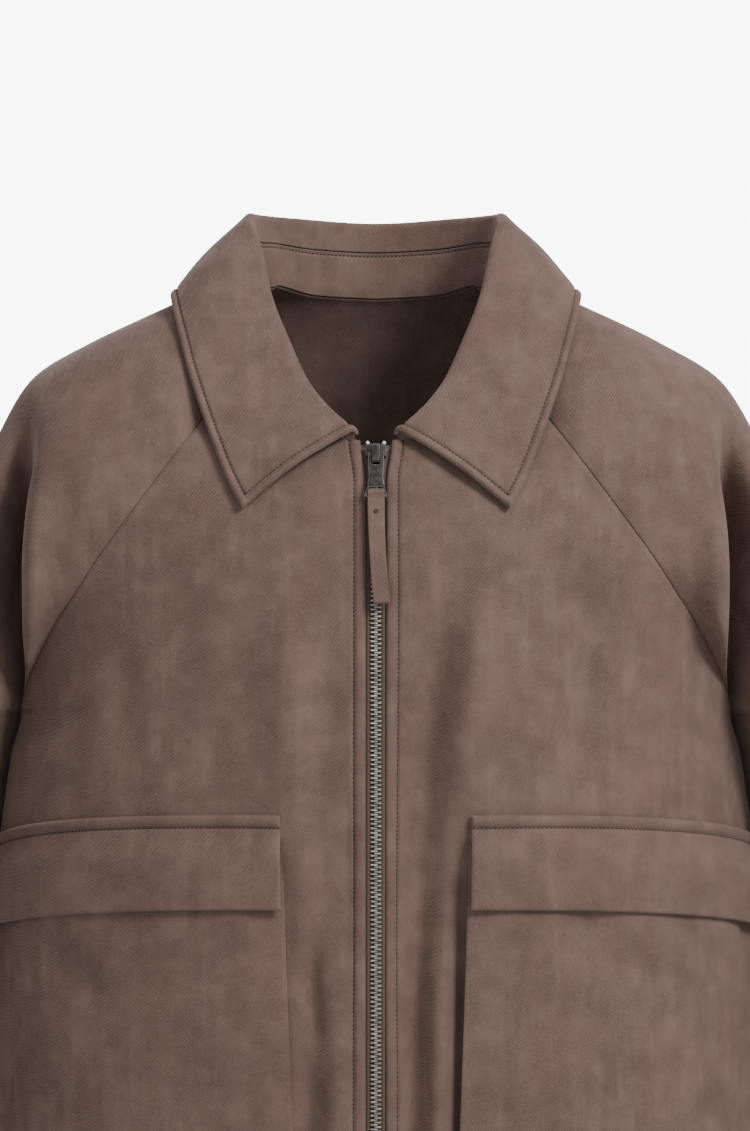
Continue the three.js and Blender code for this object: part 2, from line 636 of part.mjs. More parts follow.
// Places on the front between two x limits, by equal turns round the body
function placesOn(columns, rows, limits) {
  const places = [];
  for (let row = 0; row <= rows; row += 1) {
    const down = row / rows;
    const line = [];
    for (let column = 0; column <= columns; column += 1) {
      const across = column / columns;
      const z = mix(limits.topZ, limits.bottomZ, down) - limits.droop * across * across;
      const innerTurn = turnAt(mix(limits.innerX, limits.innerLowX, down), z);
      const outerTurn = turnAt(mix(limits.outerX, limits.outerLowX, down), z);
      line.push(new THREE.Vector2(xAtTurn(mix(innerTurn, outerTurn, across), z), z));
    }
    places.push(line);
  }
  return places;
}

function addPocket(side) {
  const places = placesOn(POCKET_COLUMNS, POCKET_ROWS, POCKET);
  const rise = (share) => Math.sin(Math.PI * share);
  const crown = (across, down) => POCKET_SEAT + POCKET_CROWN * rise(across) * rise(down);
  const pocket = laidPiece(side, places, crown, SUEDE_WALL);
  addMesh(`pocket_${sideName(side)}`, clothGeometry(pocket), suede());
  const flapPlaces = placesOn(FLAP_COLUMNS, FLAP_ROWS, FLAP);
  const standing = (across, down) => FLAP.seat + FLAP.stand * smooth(down, FLAP.bendFrom, FLAP.bendTo);
  const flap = laidPiece(side, flapPlaces, standing, FLAP_WALL);
  addMesh(`flap_${sideName(side)}`, clothGeometry(flap), suede());
}
addPocket(LEFT);
addPocket(RIGHT);

// The neckline's point at an angle from the centre front, on whichever piece lies there
function neckPoint(side, angle) {
  if (angle > FRONT_CORNER_ANGLE && angle < BACK_CORNER_ANGLE) {
    const around = (angle - FRONT_CORNER_ANGLE) / (BACK_CORNER_ANGLE - FRONT_CORNER_ANGLE);
    return sleevePoint(side, 0, around);
  }
  const face = angle <= FRONT_CORNER_ANGLE ? 'front' : 'back';
  const x = NECK_HALF_WIDTH * Math.sin(rad(angle));
  return bodyPoint(face, side * x, necklineZ(angle));
}

const collarColumn = (column) => throughTable(COLLAR_LINES, 'angle', column);
const collarLine = {
  fold: [collarColumn('foldX'), collarColumn('foldY'), collarColumn('foldZ')],
  edge: [collarColumn('edgeX'), collarColumn('edgeY'), collarColumn('edgeZ')],
};
const collarPoint = (side, line, angle) => {
  const [x, y, z] = line.map((column) => column(angle));
  return new THREE.Vector3(side * x, y, z);
};

// The collar's section at an angle: the seat on the neckline, the way up, the way out and the fold
function collarSection(side, angle) {
  const neck = neckPoint(side, angle);
  const out = new THREE.Vector3(neck.x, neck.y - NECK_CENTRE_Y, 0).normalize();
  const fold = collarPoint(side, collarLine.fold, angle);
  const edge = collarPoint(side, collarLine.edge, angle);
  const up = fold.clone().sub(neck).normalize();
  out.addScaledVector(up, -out.dot(up)).normalize();
  const seat = neck.clone().addScaledVector(out, -COLLAR_WALL).addScaledVector(up, STAND_SEAT);
  const height = fold.clone().sub(seat).dot(up);
  const radius = THREE.MathUtils.clamp(height * FOLD_SHARE, FOLD_LEAST_RADIUS, FOLD_RADIUS);
  return { seat, up, out, fold, edge, radius, legTop: height - radius };
}

// The leaf's visible side from the stand's seam, over the fold and down to its edge
function leafProfile(place) {
  const { seat, up, out, radius, legTop } = place;
  const seam = legTop * STAND_SHARE + COLLAR_SEAM;
  const points = [];
  for (let i = 0; i <= LEAF_INNER_ROWS; i += 1) {
    points.push(seat.clone().addScaledVector(up, mix(seam, legTop, i / LEAF_INNER_ROWS)));
  }
  const centre = seat.clone().addScaledVector(up, legTop).addScaledVector(out, radius);
  for (let i = 1; i <= LEAF_FOLD_ROWS; i += 1) {
    const turn = (i / LEAF_FOLD_ROWS) * Math.PI;
    const point = centre.clone().addScaledVector(out, -radius * Math.cos(turn));
    points.push(point.addScaledVector(up, radius * Math.sin(turn)));
  }
  const start = points[points.length - 1];
  const bow = up.clone().add(out).normalize();
  const control = start.clone().lerp(place.edge, 0.5).addScaledVector(bow, 2 * LEAF_BOW);
  const curve = new THREE.QuadraticBezierCurve3(start, control, place.edge);
  for (let i = 1; i <= LEAF_OUTER_ROWS; i += 1) points.push(curve.getPoint(i / LEAF_OUTER_ROWS));
  return points;
}

function standProfile(place) {
  const height = place.legTop * STAND_SHARE;
  const points = [];
  for (let i = STAND_ROWS; i >= 0; i -= 1) {
    points.push(place.seat.clone().addScaledVector(place.up, (height * i) / STAND_ROWS));
  }
  return points;
}

function collarAngles() {
  const stretches = [
    [COLLAR_START, FRONT_CORNER_ANGLE, COLLAR_FRONT_STEPS],
    [FRONT_CORNER_ANGLE, BACK_CORNER_ANGLE, COLLAR_SIDE_STEPS],
    [BACK_CORNER_ANGLE, 180, COLLAR_BACK_STEPS],
  ];
  const angles = [COLLAR_START];
  for (const [from, to, steps] of stretches) {
    for (let i = 1; i <= steps; i += 1) angles.push(mix(from, to, i / steps));
  }
  return angles;
}

// Rows run from the stand to the edge, columns from the left front round the back to the right
function collarGrid(profile) {
  const leftColumns = collarAngles().map((angle) => profile(collarSection(LEFT, angle)));
  const rightColumns = collarAngles().map((angle) => profile(collarSection(RIGHT, angle))).reverse();
  const columns = [...leftColumns, ...rightColumns.slice(1)];
  return columns[0].map((_, row) => columns.map((column) => column[row]));
}

const leaf = cloth(collarGrid(leafProfile), COLLAR_WALL);
leaf.inside = bodyAxis;
addMesh('collar_leaf', clothGeometry(faceOut(leaf)), suede());
const stand = cloth(collarGrid(standProfile), COLLAR_WALL);
stand.inside = new THREE.Vector3(0, 500, 0);
addMesh('collar_stand', clothGeometry(faceOut(stand)), suede());

// A strip of the zip: rows down the front, from one x to another, sunk below the front's face
function zipStrip(side, xs, topZ, bottomZ, sink, wall) {
  const places = [];
  for (let row = 0; row <= ZIP_ROWS; row += 1) {
    const z = mix(topZ, bottomZ, row / ZIP_ROWS);
    places.push(xs.map((x) => new THREE.Vector2(x, z)));
  }
  return clothGeometry(laidPiece(side, places, () => -wall - sink, wall));
}

for (const side of [LEFT, RIGHT]) {
  const xs = [TAPE.innerX, (TAPE.innerX + TAPE.outerX) / 2, TAPE.outerX];
  const tape = zipStrip(side, xs, TAPE.topZ, TAPE.bottomZ, TAPE.sink, TAPE_WALL);
  addMesh(`zip_tape_${sideName(side)}`, tape, tapeCloth());
}
const chainXs = [-CHAIN.halfWidth, CHAIN.halfWidth];
addMesh('zip_chain', zipStrip(RIGHT, chainXs, CHAIN.topZ, CHAIN.bottomZ, -CHAIN.proud, CHAIN.wall), nickel());

// Solids that are joined or cut, and back to a mesh
const wasm = await Module();
wasm.setup();

function toSolid(geometry) {
  const bare = geometry.clone();
  bare.deleteAttribute('normal');
  bare.deleteAttribute('uv');
  const merged = mergeVertices(bare, 1e-4);
  const vertProperties = new Float32Array(merged.getAttribute('position').array);
  const triVerts = new Uint32Array(merged.getIndex().array);
  return new wasm.Manifold(new wasm.Mesh({ numProp: 3, vertProperties, triVerts }));
}

function toGeometry(solid) {
  const mesh = solid.getMesh();
  const geometry = new THREE.BufferGeometry();
  geometry.setAttribute('position', new THREE.Float32BufferAttribute(mesh.vertProperties, 3));
  geometry.setIndex([...mesh.triVerts]);
  return geometry;
}

// A flat plate in x and z, between two depths in y
function plate(shape, frontY, backY, curveSegments = 8) {
  const options = { depth: backY - frontY, bevelEnabled: false, curveSegments };
  return new THREE.ExtrudeGeometry(shape, options).rotateX(Math.PI / 2).translate(0, backY, 0);
}

// A side outline in y and z, drawn out across x
function profileAcross(shape, halfWidth, curveSegments = 8) {
  const options = { depth: 2 * halfWidth, bevelEnabled: false, curveSegments };
  const drawn = new THREE.ExtrudeGeometry(shape, options);
  return drawn.rotateX(Math.PI / 2).rotateZ(Math.PI / 2).translate(-halfWidth, 0, 0);
}

const polygon = (points) => new THREE.Shape(points.map((point) => new THREE.Vector2(point.x, point.z)));
const sideways = (points, side) => points.map((point) => ({ x: side * point.x, z: point.z }));
const mirrored = (points) => [...points, ...sideways(points, LEFT).reverse()];

function disc(x, z, radius) {
  const shape = new THREE.Shape();
  shape.absarc(x, z, radius, 0, 2 * Math.PI);
  return shape;
}

// The bridge over the slider, drawn from the side: x stands for depth here
function bridgeOutline() {
  const { halfLength, root, under, over, foot, corner } = BRIDGE;
  const low = HINGE.z - halfLength;
  const high = HINGE.z + halfLength;
  return [
    { x: root, z: low },
    { x: over + corner, z: low },
    { x: over, z: low + corner },
    { x: over, z: high - corner },
    { x: over + corner, z: high },
    { x: root, z: high },
    { x: root, z: high - foot },
    { x: under, z: high - foot },
    { x: under, z: low + foot },
    { x: root, z: low + foot },
  ];
}

// The slider, with two round shoulders, flanges round the chain, and the bridge that holds the pull
function sliderGeometry() {
  const { halfLength, point, neckHalfWidth, plateBack, plateFront } = SLIDER;
  const sides = [{ x: neckHalfWidth, z: point - halfLength }, { x: neckHalfWidth, z: SHOULDER.z }];
  const parts = [plate(polygon([{ x: 0, z: -halfLength }, ...mirrored(sides)]), plateFront, plateBack)];
  for (const side of [LEFT, RIGHT]) {
    parts.push(plate(disc(side * SHOULDER.x, SHOULDER.z, SHOULDER.radius), plateFront, plateBack, 10));
    parts.push(plate(polygon(sideways(FLANGE, side)), plateFront, SUEDE_WALL - SEAM_GAP));
  }
  parts.push(profileAcross(polygon(bridgeOutline()), BRIDGE.halfWidth));
  return toGeometry(parts.map(toSolid).reduce((whole, solid) => whole.add(solid)));
}

// A top stop, clamped on the edge of its tape and leaning outwards
function stopGeometry(side) {
  const { x, z, halfWidth, halfHeight, front, back } = STOP;
  const block = new THREE.BoxGeometry(2 * halfWidth, back - front, 2 * halfHeight);
  return block.rotateY(side * rad(STOP.lean)).translate(side * x, (front + back) / 2, z);
}

// The metal pull, from the bar in the bridge down to the bar that holds the strip
function pullGeometry() {
  const body = toSolid(plate(polygon(mirrored(PULL_OUTLINE)), -PULL_HALF_WALL, PULL_HALF_WALL));
  const through = 2 * PULL_HALF_WALL;
  const cuts = [PULL_SLOT, PULL_WINDOW].map((points) => plate(polygon(mirrored(points)), -through, through));
  return toGeometry(cuts.map(toSolid).reduce((whole, cut) => whole.subtract(cut), body));
}

// The suede strip: a loop round the pull's bar, and two layers that settle towards the chain
function stripGeometry() {
  const s = STRIP;
  const reach = s.length - s.loopRadius;
  const depthAt = (along) => s.settle * (along / reach) ** 1.5;
  const front = [];
  const behind = [];
  for (let i = 1; i <= STRIP_STEPS; i += 1) {
    const along = (i / STRIP_STEPS) * reach;
    front.push({ x: depthAt(along) - s.halfWall, z: PULL_BAR_Z - along });
    behind.push({ x: depthAt(along) + s.halfWall, z: PULL_BAR_Z - along });
  }
  const loop = [];
  for (let i = 0; i <= LOOP_STEPS; i += 1) {
    const turn = rad(LOOP_START + (i / LOOP_STEPS) * LOOP_TURN);
    loop.push({ x: s.loopRadius * Math.cos(turn), z: PULL_BAR_Z + s.loopRadius * Math.sin(turn) });
  }
  const outline = polygon([...behind.reverse(), ...loop, ...front]);
  const solid = toSolid(profileAcross(outline, s.halfWidth));
  const hole = toSolid(profileAcross(disc(0, PULL_BAR_Z, s.holeRadius), s.halfWidth + 1));
  const geometry = toGeometry(solid.subtract(hole));
  const position = geometry.getAttribute('position');
  for (let i = 0; i < position.count; i += 1) {
    const along = Math.max(0, PULL_BAR_Z - position.getZ(i));
    position.setX(i, position.getX(i) + s.sway * (along / reach) ** 2);
  }
  return geometry;
}

// The slider and pull lie along the slope of the front at the top of the zip
const zipHead = new THREE.Group();
const zipRise = bodyFront(SLIDER.z - SLIDER.halfLength) - bodyFront(SLIDER.z + SLIDER.halfLength);
const zipSlope = Math.atan(zipRise / (2 * SLIDER.halfLength));
zipHead.position.set(0, -bodyFront(SLIDER.z), SLIDER.z);
zipHead.rotation.x = -zipSlope;
jacket.add(zipHead);
addMesh('zip_slider', sliderGeometry(), gunmetal(), zipHead);
addMesh('zip_stop_left', stopGeometry(LEFT), nickel(), zipHead);
addMesh('zip_stop_right', stopGeometry(RIGHT), nickel(), zipHead);

const pull = new THREE.Group();
pull.position.set(0, HINGE.y, HINGE.z);
zipHead.add(pull);
addMesh('zip_pull', pullGeometry(), gunmetal(), pull);
addMesh('pull_strip', stripGeometry(), suede(), pull);

export default jacket;
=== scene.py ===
"""A zipped suede jacket, filled out as when worn: cloth, sewing, zip, light and camera."""

import logging
import math
from dataclasses import dataclass, field
from enum import Enum
from typing import Any, Callable, NamedTuple, Optional, Sequence

import bpy
import numpy as np
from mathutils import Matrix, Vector

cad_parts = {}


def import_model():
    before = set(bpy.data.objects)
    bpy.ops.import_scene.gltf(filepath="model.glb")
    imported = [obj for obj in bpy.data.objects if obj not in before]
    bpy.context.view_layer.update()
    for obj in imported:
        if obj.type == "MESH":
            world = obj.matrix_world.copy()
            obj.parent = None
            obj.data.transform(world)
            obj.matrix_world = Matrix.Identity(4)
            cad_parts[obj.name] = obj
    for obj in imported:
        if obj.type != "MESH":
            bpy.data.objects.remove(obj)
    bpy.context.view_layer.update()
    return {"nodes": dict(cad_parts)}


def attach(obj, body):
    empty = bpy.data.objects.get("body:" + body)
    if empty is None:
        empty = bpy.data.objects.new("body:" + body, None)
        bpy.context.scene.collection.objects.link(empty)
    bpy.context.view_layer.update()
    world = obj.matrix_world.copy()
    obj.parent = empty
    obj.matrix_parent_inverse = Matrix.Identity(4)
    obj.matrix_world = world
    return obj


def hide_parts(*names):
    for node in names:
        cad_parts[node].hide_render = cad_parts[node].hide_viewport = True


log = logging.getLogger("jacket")

MM = 0.001
JACKET = "jacket"
PULL = "pull"
INSIDE = (0.0, 0.0, -250.0)
FAR = 1000.0
AREA_PARTS = 10000.0

Triple = tuple[float, float, float]


class Side(Enum):
    """A side of the jacket, as seen from the front."""

    LEFT = -1
    RIGHT = 1

    @property
    def word(self) -> str:
        """The side's name in small letters."""
        return self.name.lower()


class Face(Enum):
    """The front or the back of the body."""

    FRONT = "front"
    BACK = "back"


class Edge(Enum):
    """An edge of a piece of cloth whose points lie in rows and columns."""

    FIRST = "first column"
    LAST = "last column"
    TOP = "first row"
    BOTTOM = "last row"


def mix(a: Any, b: Any, share: Any) -> Any:
    """The value a share of the way from a to b."""
    return a + (b - a) * share


def smooth(value: Any, low: float, high: float) -> Any:
    """A soft step from 0 at low to 1 at high."""
    t = np.clip((value - low) / (high - low), 0.0, 1.0)
    return t * t * (3.0 - 2.0 * t)


def bell(distance: Any, half_width: float) -> Any:
    """A soft hump, 1 at distance 0."""
    return np.exp(-((distance / half_width) ** 2))


def unit(vectors: np.ndarray) -> np.ndarray:
    """Vectors brought to length 1."""
    return vectors / np.linalg.norm(vectors, axis=-1, keepdims=True)


def read_along(at: Any, run: np.ndarray, places: np.ndarray) -> np.ndarray:
    """Places read at distances along a line whose points lie at rising distances run."""
    return np.stack([np.interp(at, run, places[:, k]) for k in range(3)], axis=1)


def uneven(u: Any, v: Any, phase: float, wave: float = 38.0) -> Any:
    """Gentle irregular waves between about -1 and 1.

    Args:
        u: Distances across, in millimetres.
        v: Distances down, in millimetres.
        phase: Sets one piece's waves apart from another's.
        wave: The usual distance between crests over 2 pi, in millimetres.

    Returns:
        The height of the waves at each place.
    """
    a = np.sin(u / wave + 0.4 * v / wave + phase)
    b = np.sin(0.55 * u / wave - v / (1.3 * wave) + 2.1 * phase)
    c = np.sin(1.7 * u / wave + 0.3 * np.sin(v / (0.8 * wave)) + 3.3 * phase)
    return 0.42 * a + 0.33 * b + 0.25 * c


def lengths(points: np.ndarray, axis: int) -> np.ndarray:
    """Distances run along a grid's rows (axis 1) or columns (axis 0).

    Args:
        points: The grid, in rows and columns.
        axis: 1 for rows, 0 for columns.

    Returns:
        The distance from the first point, at each point.
    """
    run = np.cumsum(np.linalg.norm(np.diff(points, axis=axis), axis=2), axis=axis)
    return np.concatenate([np.zeros_like(np.take(run, [0], axis=axis)), run], axis=axis)


class Curve:
    """A smooth curve through a column of a table, without overshoot."""

    def __init__(self, keys: Sequence[float], values: Sequence[float]) -> None:
        """Works out the slope at each key.

        Args:
            keys: Where the values are, rising.
            values: The column's values.
        """
        self.keys = np.asarray(keys, float)
        self.values = np.asarray(values, float)
        slopes = np.diff(self.values) / np.diff(self.keys)
        before, after = slopes[:-1], slopes[1:]
        same = before * after > 0
        total = np.where(same, before + after, 1.0)
        middle = np.where(same, 2.0 * before * after / total, 0.0)
        self.tangents = np.concatenate([slopes[:1], middle, slopes[-1:]])

    def __call__(self, at: Any) -> np.ndarray:
        """The curve's value at one place or many."""
        at = np.clip(np.asarray(at, float), self.keys[0], self.keys[-1])
        i = np.clip(np.searchsorted(self.keys, at) - 1, 0, len(self.keys) - 2)
        step = self.keys[i + 1] - self.keys[i]
        t = (at - self.keys[i]) / step
        return (
            (1 + 2 * t) * (1 - t) ** 2 * self.values[i]
            + t * (1 - t) ** 2 * step * self.tangents[i]
            + t * t * (3 - 2 * t) * self.values[i + 1]
            + t * t * (t - 1) * step * self.tangents[i + 1]
        )


def column(rows: Sequence[Any], key: Optional[str], name: str) -> Curve:
    """A table's column as a curve.

    Args:
        rows: The table's rows.
        key: The column to read it by, or None to read it by row number.
        name: The column of values.

    Returns:
        The curve.
    """
    keys = [i if key is None else getattr(row, key) for i, row in enumerate(rows)]
    return Curve(keys, [getattr(row, name) for row in rows])


def table(kind: type, *rows: Sequence[float]) -> tuple[Any, ...]:
    """A table's rows, each with the named columns of its kind."""
    return tuple(kind(*row) for row in rows)


class BodyLevel(NamedTuple):
    """The body's half width and depths at a height, in millimetres."""

    z: float
    half_width: float
    front: float
    back: float


class NecklinePoint(NamedTuple):
    """The neckline's height at an angle from the centre front."""

    angle: float
    z: float


class SleeveSection(NamedTuple):
    """A section of the sleeve: its seam points, its top, the angle it turns through and its depth."""

    front_x: float
    front_z: float
    back_x: float
    back_z: float
    top_x: float
    top_z: float
    mid_y: float
    arc: float
    depth: float


class CollarLine(NamedTuple):
    """The collar's fold and the edge of its leaf at an angle round the neck."""

    angle: float
    fold_x: float
    fold_y: float
    fold_z: float
    edge_x: float
    edge_y: float
    edge_z: float


BODY_LEVELS = table(
    BodyLevel,
    (-660, 245, 139, 131),
    (-550, 248, 143, 129),
    (-450, 249, 145, 128),
    (-380, 247, 145, 129),
    (-338, 243.5, 143.5, 131),
    (-310, 240, 142, 132),
    (-284, 236, 140, 133),
    (-260, 230, 138, 133.5),
    (-241, 230.4, 136.5, 133.5),
    (-223, 231.5, 134.5, 133),
    (-200, 236, 131, 132),
    (-180, 246, 127.5, 130.5),
    (-160, 257, 123, 128.5),
    (-135, 264, 117, 125),
    (-110, 258, 109, 121),
    (-87, 249, 100, 116),
    (-66, 239, 80, 110.5),
    (-44, 224, 63, 104),
    (-27, 199, 52, 98),
    (-10, 168, 36, 90),
    (5, 133, 24, 80),
    (14, 111, 16, 72),
    (23, 88, 8, 50),
)

NECKLINE = table(
    NecklinePoint,
    (0, -87),
    (20, -83),
    (40, -66),
    (64, -27),
    (90, 13),
    (105, 22),
    (125, 21),
    (150, 16),
    (180, 14),
)

SLEEVE_SECTIONS = table(
    SleeveSection,
    (71.9, -27, 65.5, 21, 80, 27, 2, 72, 47),
    (90, -48, 86, 4, 115, 13, 3, 76, 66),
    (110, -73, 108, -26, 150, -2.5, 4, 80, 84),
    (133.5, -104, 134, -68, 187, -20.5, 4, 86, 95.5),
    (156.5, -135, 158, -114, 223, -43, 4, 93, 100),
    (175.5, -161, 178, -154, 246, -80, 4, 100, 97),
    (190, -183, 194, -186, 266, -125, 4, 111, 91),
    (202, -200, 206, -211, 281, -165, 4, 124, 85.5),
    (215, -223, 216.5, -232, 292, -200, 3, 140, 84.5),
    (224, -242.5, 225, -249, 299.5, -228, 2, 155, 85),
    (230, -260, 230, -260, 306, -252, 0, 180, 84),
    (248, -300, 248, -300, 318, -292, -1, 180, 82),
    (263, -400, 263, -400, 341, -390, -4, 180, 75),
    (277, -500, 277, -500, 363, -488, -9, 180, 67),
    (292, -600, 292, -600, 383, -586, -16, 180, 58),
    (304, -678, 304, -678, 397, -666, -22, 180, 51),
)
ARMPIT_STATION = 10

COLLAR_LINES = table(
    CollarLine,
    (5, 12, -107, -80, 83.5, -116, -129),
    (20, 22, -99, -71, 92.5, -109, -112),
    (40, 40, -77, -50, 103, -98, -86),
    (64, 59.5, -48, -9, 118.5, -74, -43),
    (73, 67.5, -36, 12, 124.5, -60, -22),
    (81, 73, -22, 35, 129.5, -43, -4),
    (90, 77.5, -7, 51, 133, -18, 9.5),
    (100, 81, 6, 61, 133, 10, 12),
    (115, 80, 27, 67.5, 121, 46, 6),
    (140, 56, 58, 67, 82, 84, -2),
    (180, 0, 78, 65, 0, 98, -5),
)


class Crease(NamedTuple):
    """A soft trough between two places (x, z) of a panel. A negative depth makes a ridge.

    It grows over the first share of its length and fades over the last.
    """

    x0: float
    z0: float
    x1: float
    z1: float
    half_width: float
    depth: float
    bow: float = 0.0
    grow: float = 0.3
    fade: float = 0.3

    def at(self, x: Any, z: Any) -> Any:
        """How deep the crease is at each place.

        Args:
            x: Distances from the centre.
            z: Heights.

        Returns:
            The depths.
        """
        along_x, along_z = self.x1 - self.x0, self.z1 - self.z0
        length = math.hypot(along_x, along_z)
        share = ((x - self.x0) * along_x + (z - self.z0) * along_z) / length**2
        off = ((x - self.x0) * along_z - (z - self.z0) * along_x) / length
        inside = np.clip(share, 0.0, 1.0)
        off = off - self.bow * 4.0 * inside * (1.0 - inside)
        rise = smooth(share, 0.0, self.grow)
        fall = 1.0 - smooth(share, 1.0 - self.fade, 1.0) if self.fade > 0 else 1.0
        return self.depth * rise * fall * bell(off, self.half_width)


def creased(creases: Sequence[Crease], x: Any, z: Any) -> Any:
    """The depth of several creases together at each place."""
    return sum((crease.at(x, z) for crease in creases), np.zeros(np.broadcast(x, z).shape))


FRONT_CREASES = (
    # To the right of the zip: two troughs with a ridge between them, down to the hem
    Crease(26, -330, 22, -640, 9, 11, grow=0.4, fade=0.0),
    Crease(37, -165, 23, -500, 15, 13, bow=2, grow=0.4, fade=0.45),
    Crease(37, -380, 38, -640, 8, -5, fade=0.0),
    Crease(55, -300, 52, -640, 8, 9, fade=0.0),
    Crease(56, -128, 30, -280, 17, 6, bow=-3),
    Crease(72, -170, 50, -330, 15, -3),
    Crease(60, -145, 57, -325, 20, -7, grow=0.4, fade=0.4),
    # To the left of the zip
    Crease(-46, -320, -43, -430, 8, -4),
    Crease(-39, -385, -34, -470, 6, 6.5, bow=3),
    Crease(-40, -445, -47, -640, 9, 8, fade=0.0),
    Crease(-25, -400, -24, -640, 7, -3.2, fade=0.0),
    Crease(-17.5, -290, -16.5, -440, 2.6, 1.5),
    Crease(-56, -150, -47, -400, 15, -3.4, bow=3),
    Crease(-30, -180, -34, -330, 10, 2.4, bow=-2),
    # Beside the zip, where the fronts sink towards its tapes
    Crease(9, -150, 9, -640, 7, 3, fade=0.0),
    # The chest
    Crease(134, -150, 122, -310, 16, 10.5),
    Crease(-118, -160, -128, -300, 18, 4.6),
    Crease(95, -150, 92, -300, 14, -2.6),
    Crease(-86, -130, -80, -290, 13, 2.2),
    Crease(172, -200, 150, -330, 13, 3.2, bow=4),
    Crease(-166, -205, -150, -320, 12, 3.0, bow=-4),
    # Below the pockets, near the hem
    Crease(96, -560, 110, -650, 14, 3, fade=0.0),
    Crease(-120, -570, -112, -650, 15, 3, fade=0.0),
)

BACK_CREASES = (
    Crease(-120, -190, -150, -560, 22, 7, fade=0.25),
    Crease(128, -200, 152, -590, 20, 6, fade=0.25),
    Crease(-30, -260, -46, -640, 17, 5, fade=0.0),
    Crease(44, -320, 62, -640, 15, 5, fade=0.0),
    Crease(-72, -150, -96, -430, 15, -2.6, bow=5),
    Crease(84, -130, 100, -400, 16, -2.4, bow=-5),
    Crease(6, -170, -6, -420, 20, -2.0, bow=6),
    Crease(178, -250, 120, -400, 12, 3.2, bow=7),
    Crease(-184, -245, -128, -380, 12, 3.0, bow=-7),
    Crease(0, -430, 20, -640, 12, -2.4, fade=0.0),
)

LEFT_POCKET_CREASES = (
    Crease(-214, -388, -158, -440, 13, 3.4, bow=5),
    Crease(-84, -378, -152, -438, 12, 3.0, bow=-5),
    Crease(-120, -372, -128, -470, 16, -2.4),
    Crease(-213, -396, -212, -472, 1.6, 0.5),
    Crease(-110, -450, -150, -535, 13, 1.8),
)
RIGHT_POCKET_CREASES = (
    Crease(124, -396, 76, -500, 13, -3.0, bow=3),
    Crease(112, -380, 172, -424, 12, 3.6, bow=-3),
    Crease(92, -384, 66, -440, 9, 1.8),
    Crease(190, -400, 150, -520, 14, 2.0, bow=4),
)
FLAP_CREASES = (
    Crease(-190, -335, -160, -380, 12, 1.2),
    Crease(-110, -330, -96, -376, 14, -1.2),
    Crease(104, -330, 128, -376, 13, 1.3),
    Crease(196, -336, 172, -380, 12, -1.2),
)
ELBOW_CREASES = (
    Crease(-95, -300, -20, -352, 12, 4.5, bow=6),
    Crease(-100, -352, -10, -410, 13, 5.0, bow=-7),
    Crease(-90, -430, -30, -455, 10, 3.4),
    Crease(90, -330, 30, -380, 13, 3.6, bow=5),
    Crease(96, -400, 20, -440, 12, 3.8, bow=-5),
    Crease(-60, -500, -50, -640, 15, 2.6),
    Crease(40, -480, 55, -620, 16, 2.4, bow=6),
    Crease(-30, -560, 10, -660, 14, -2.0),
    Crease(70, -250, 84, -330, 11, 3.0),
)


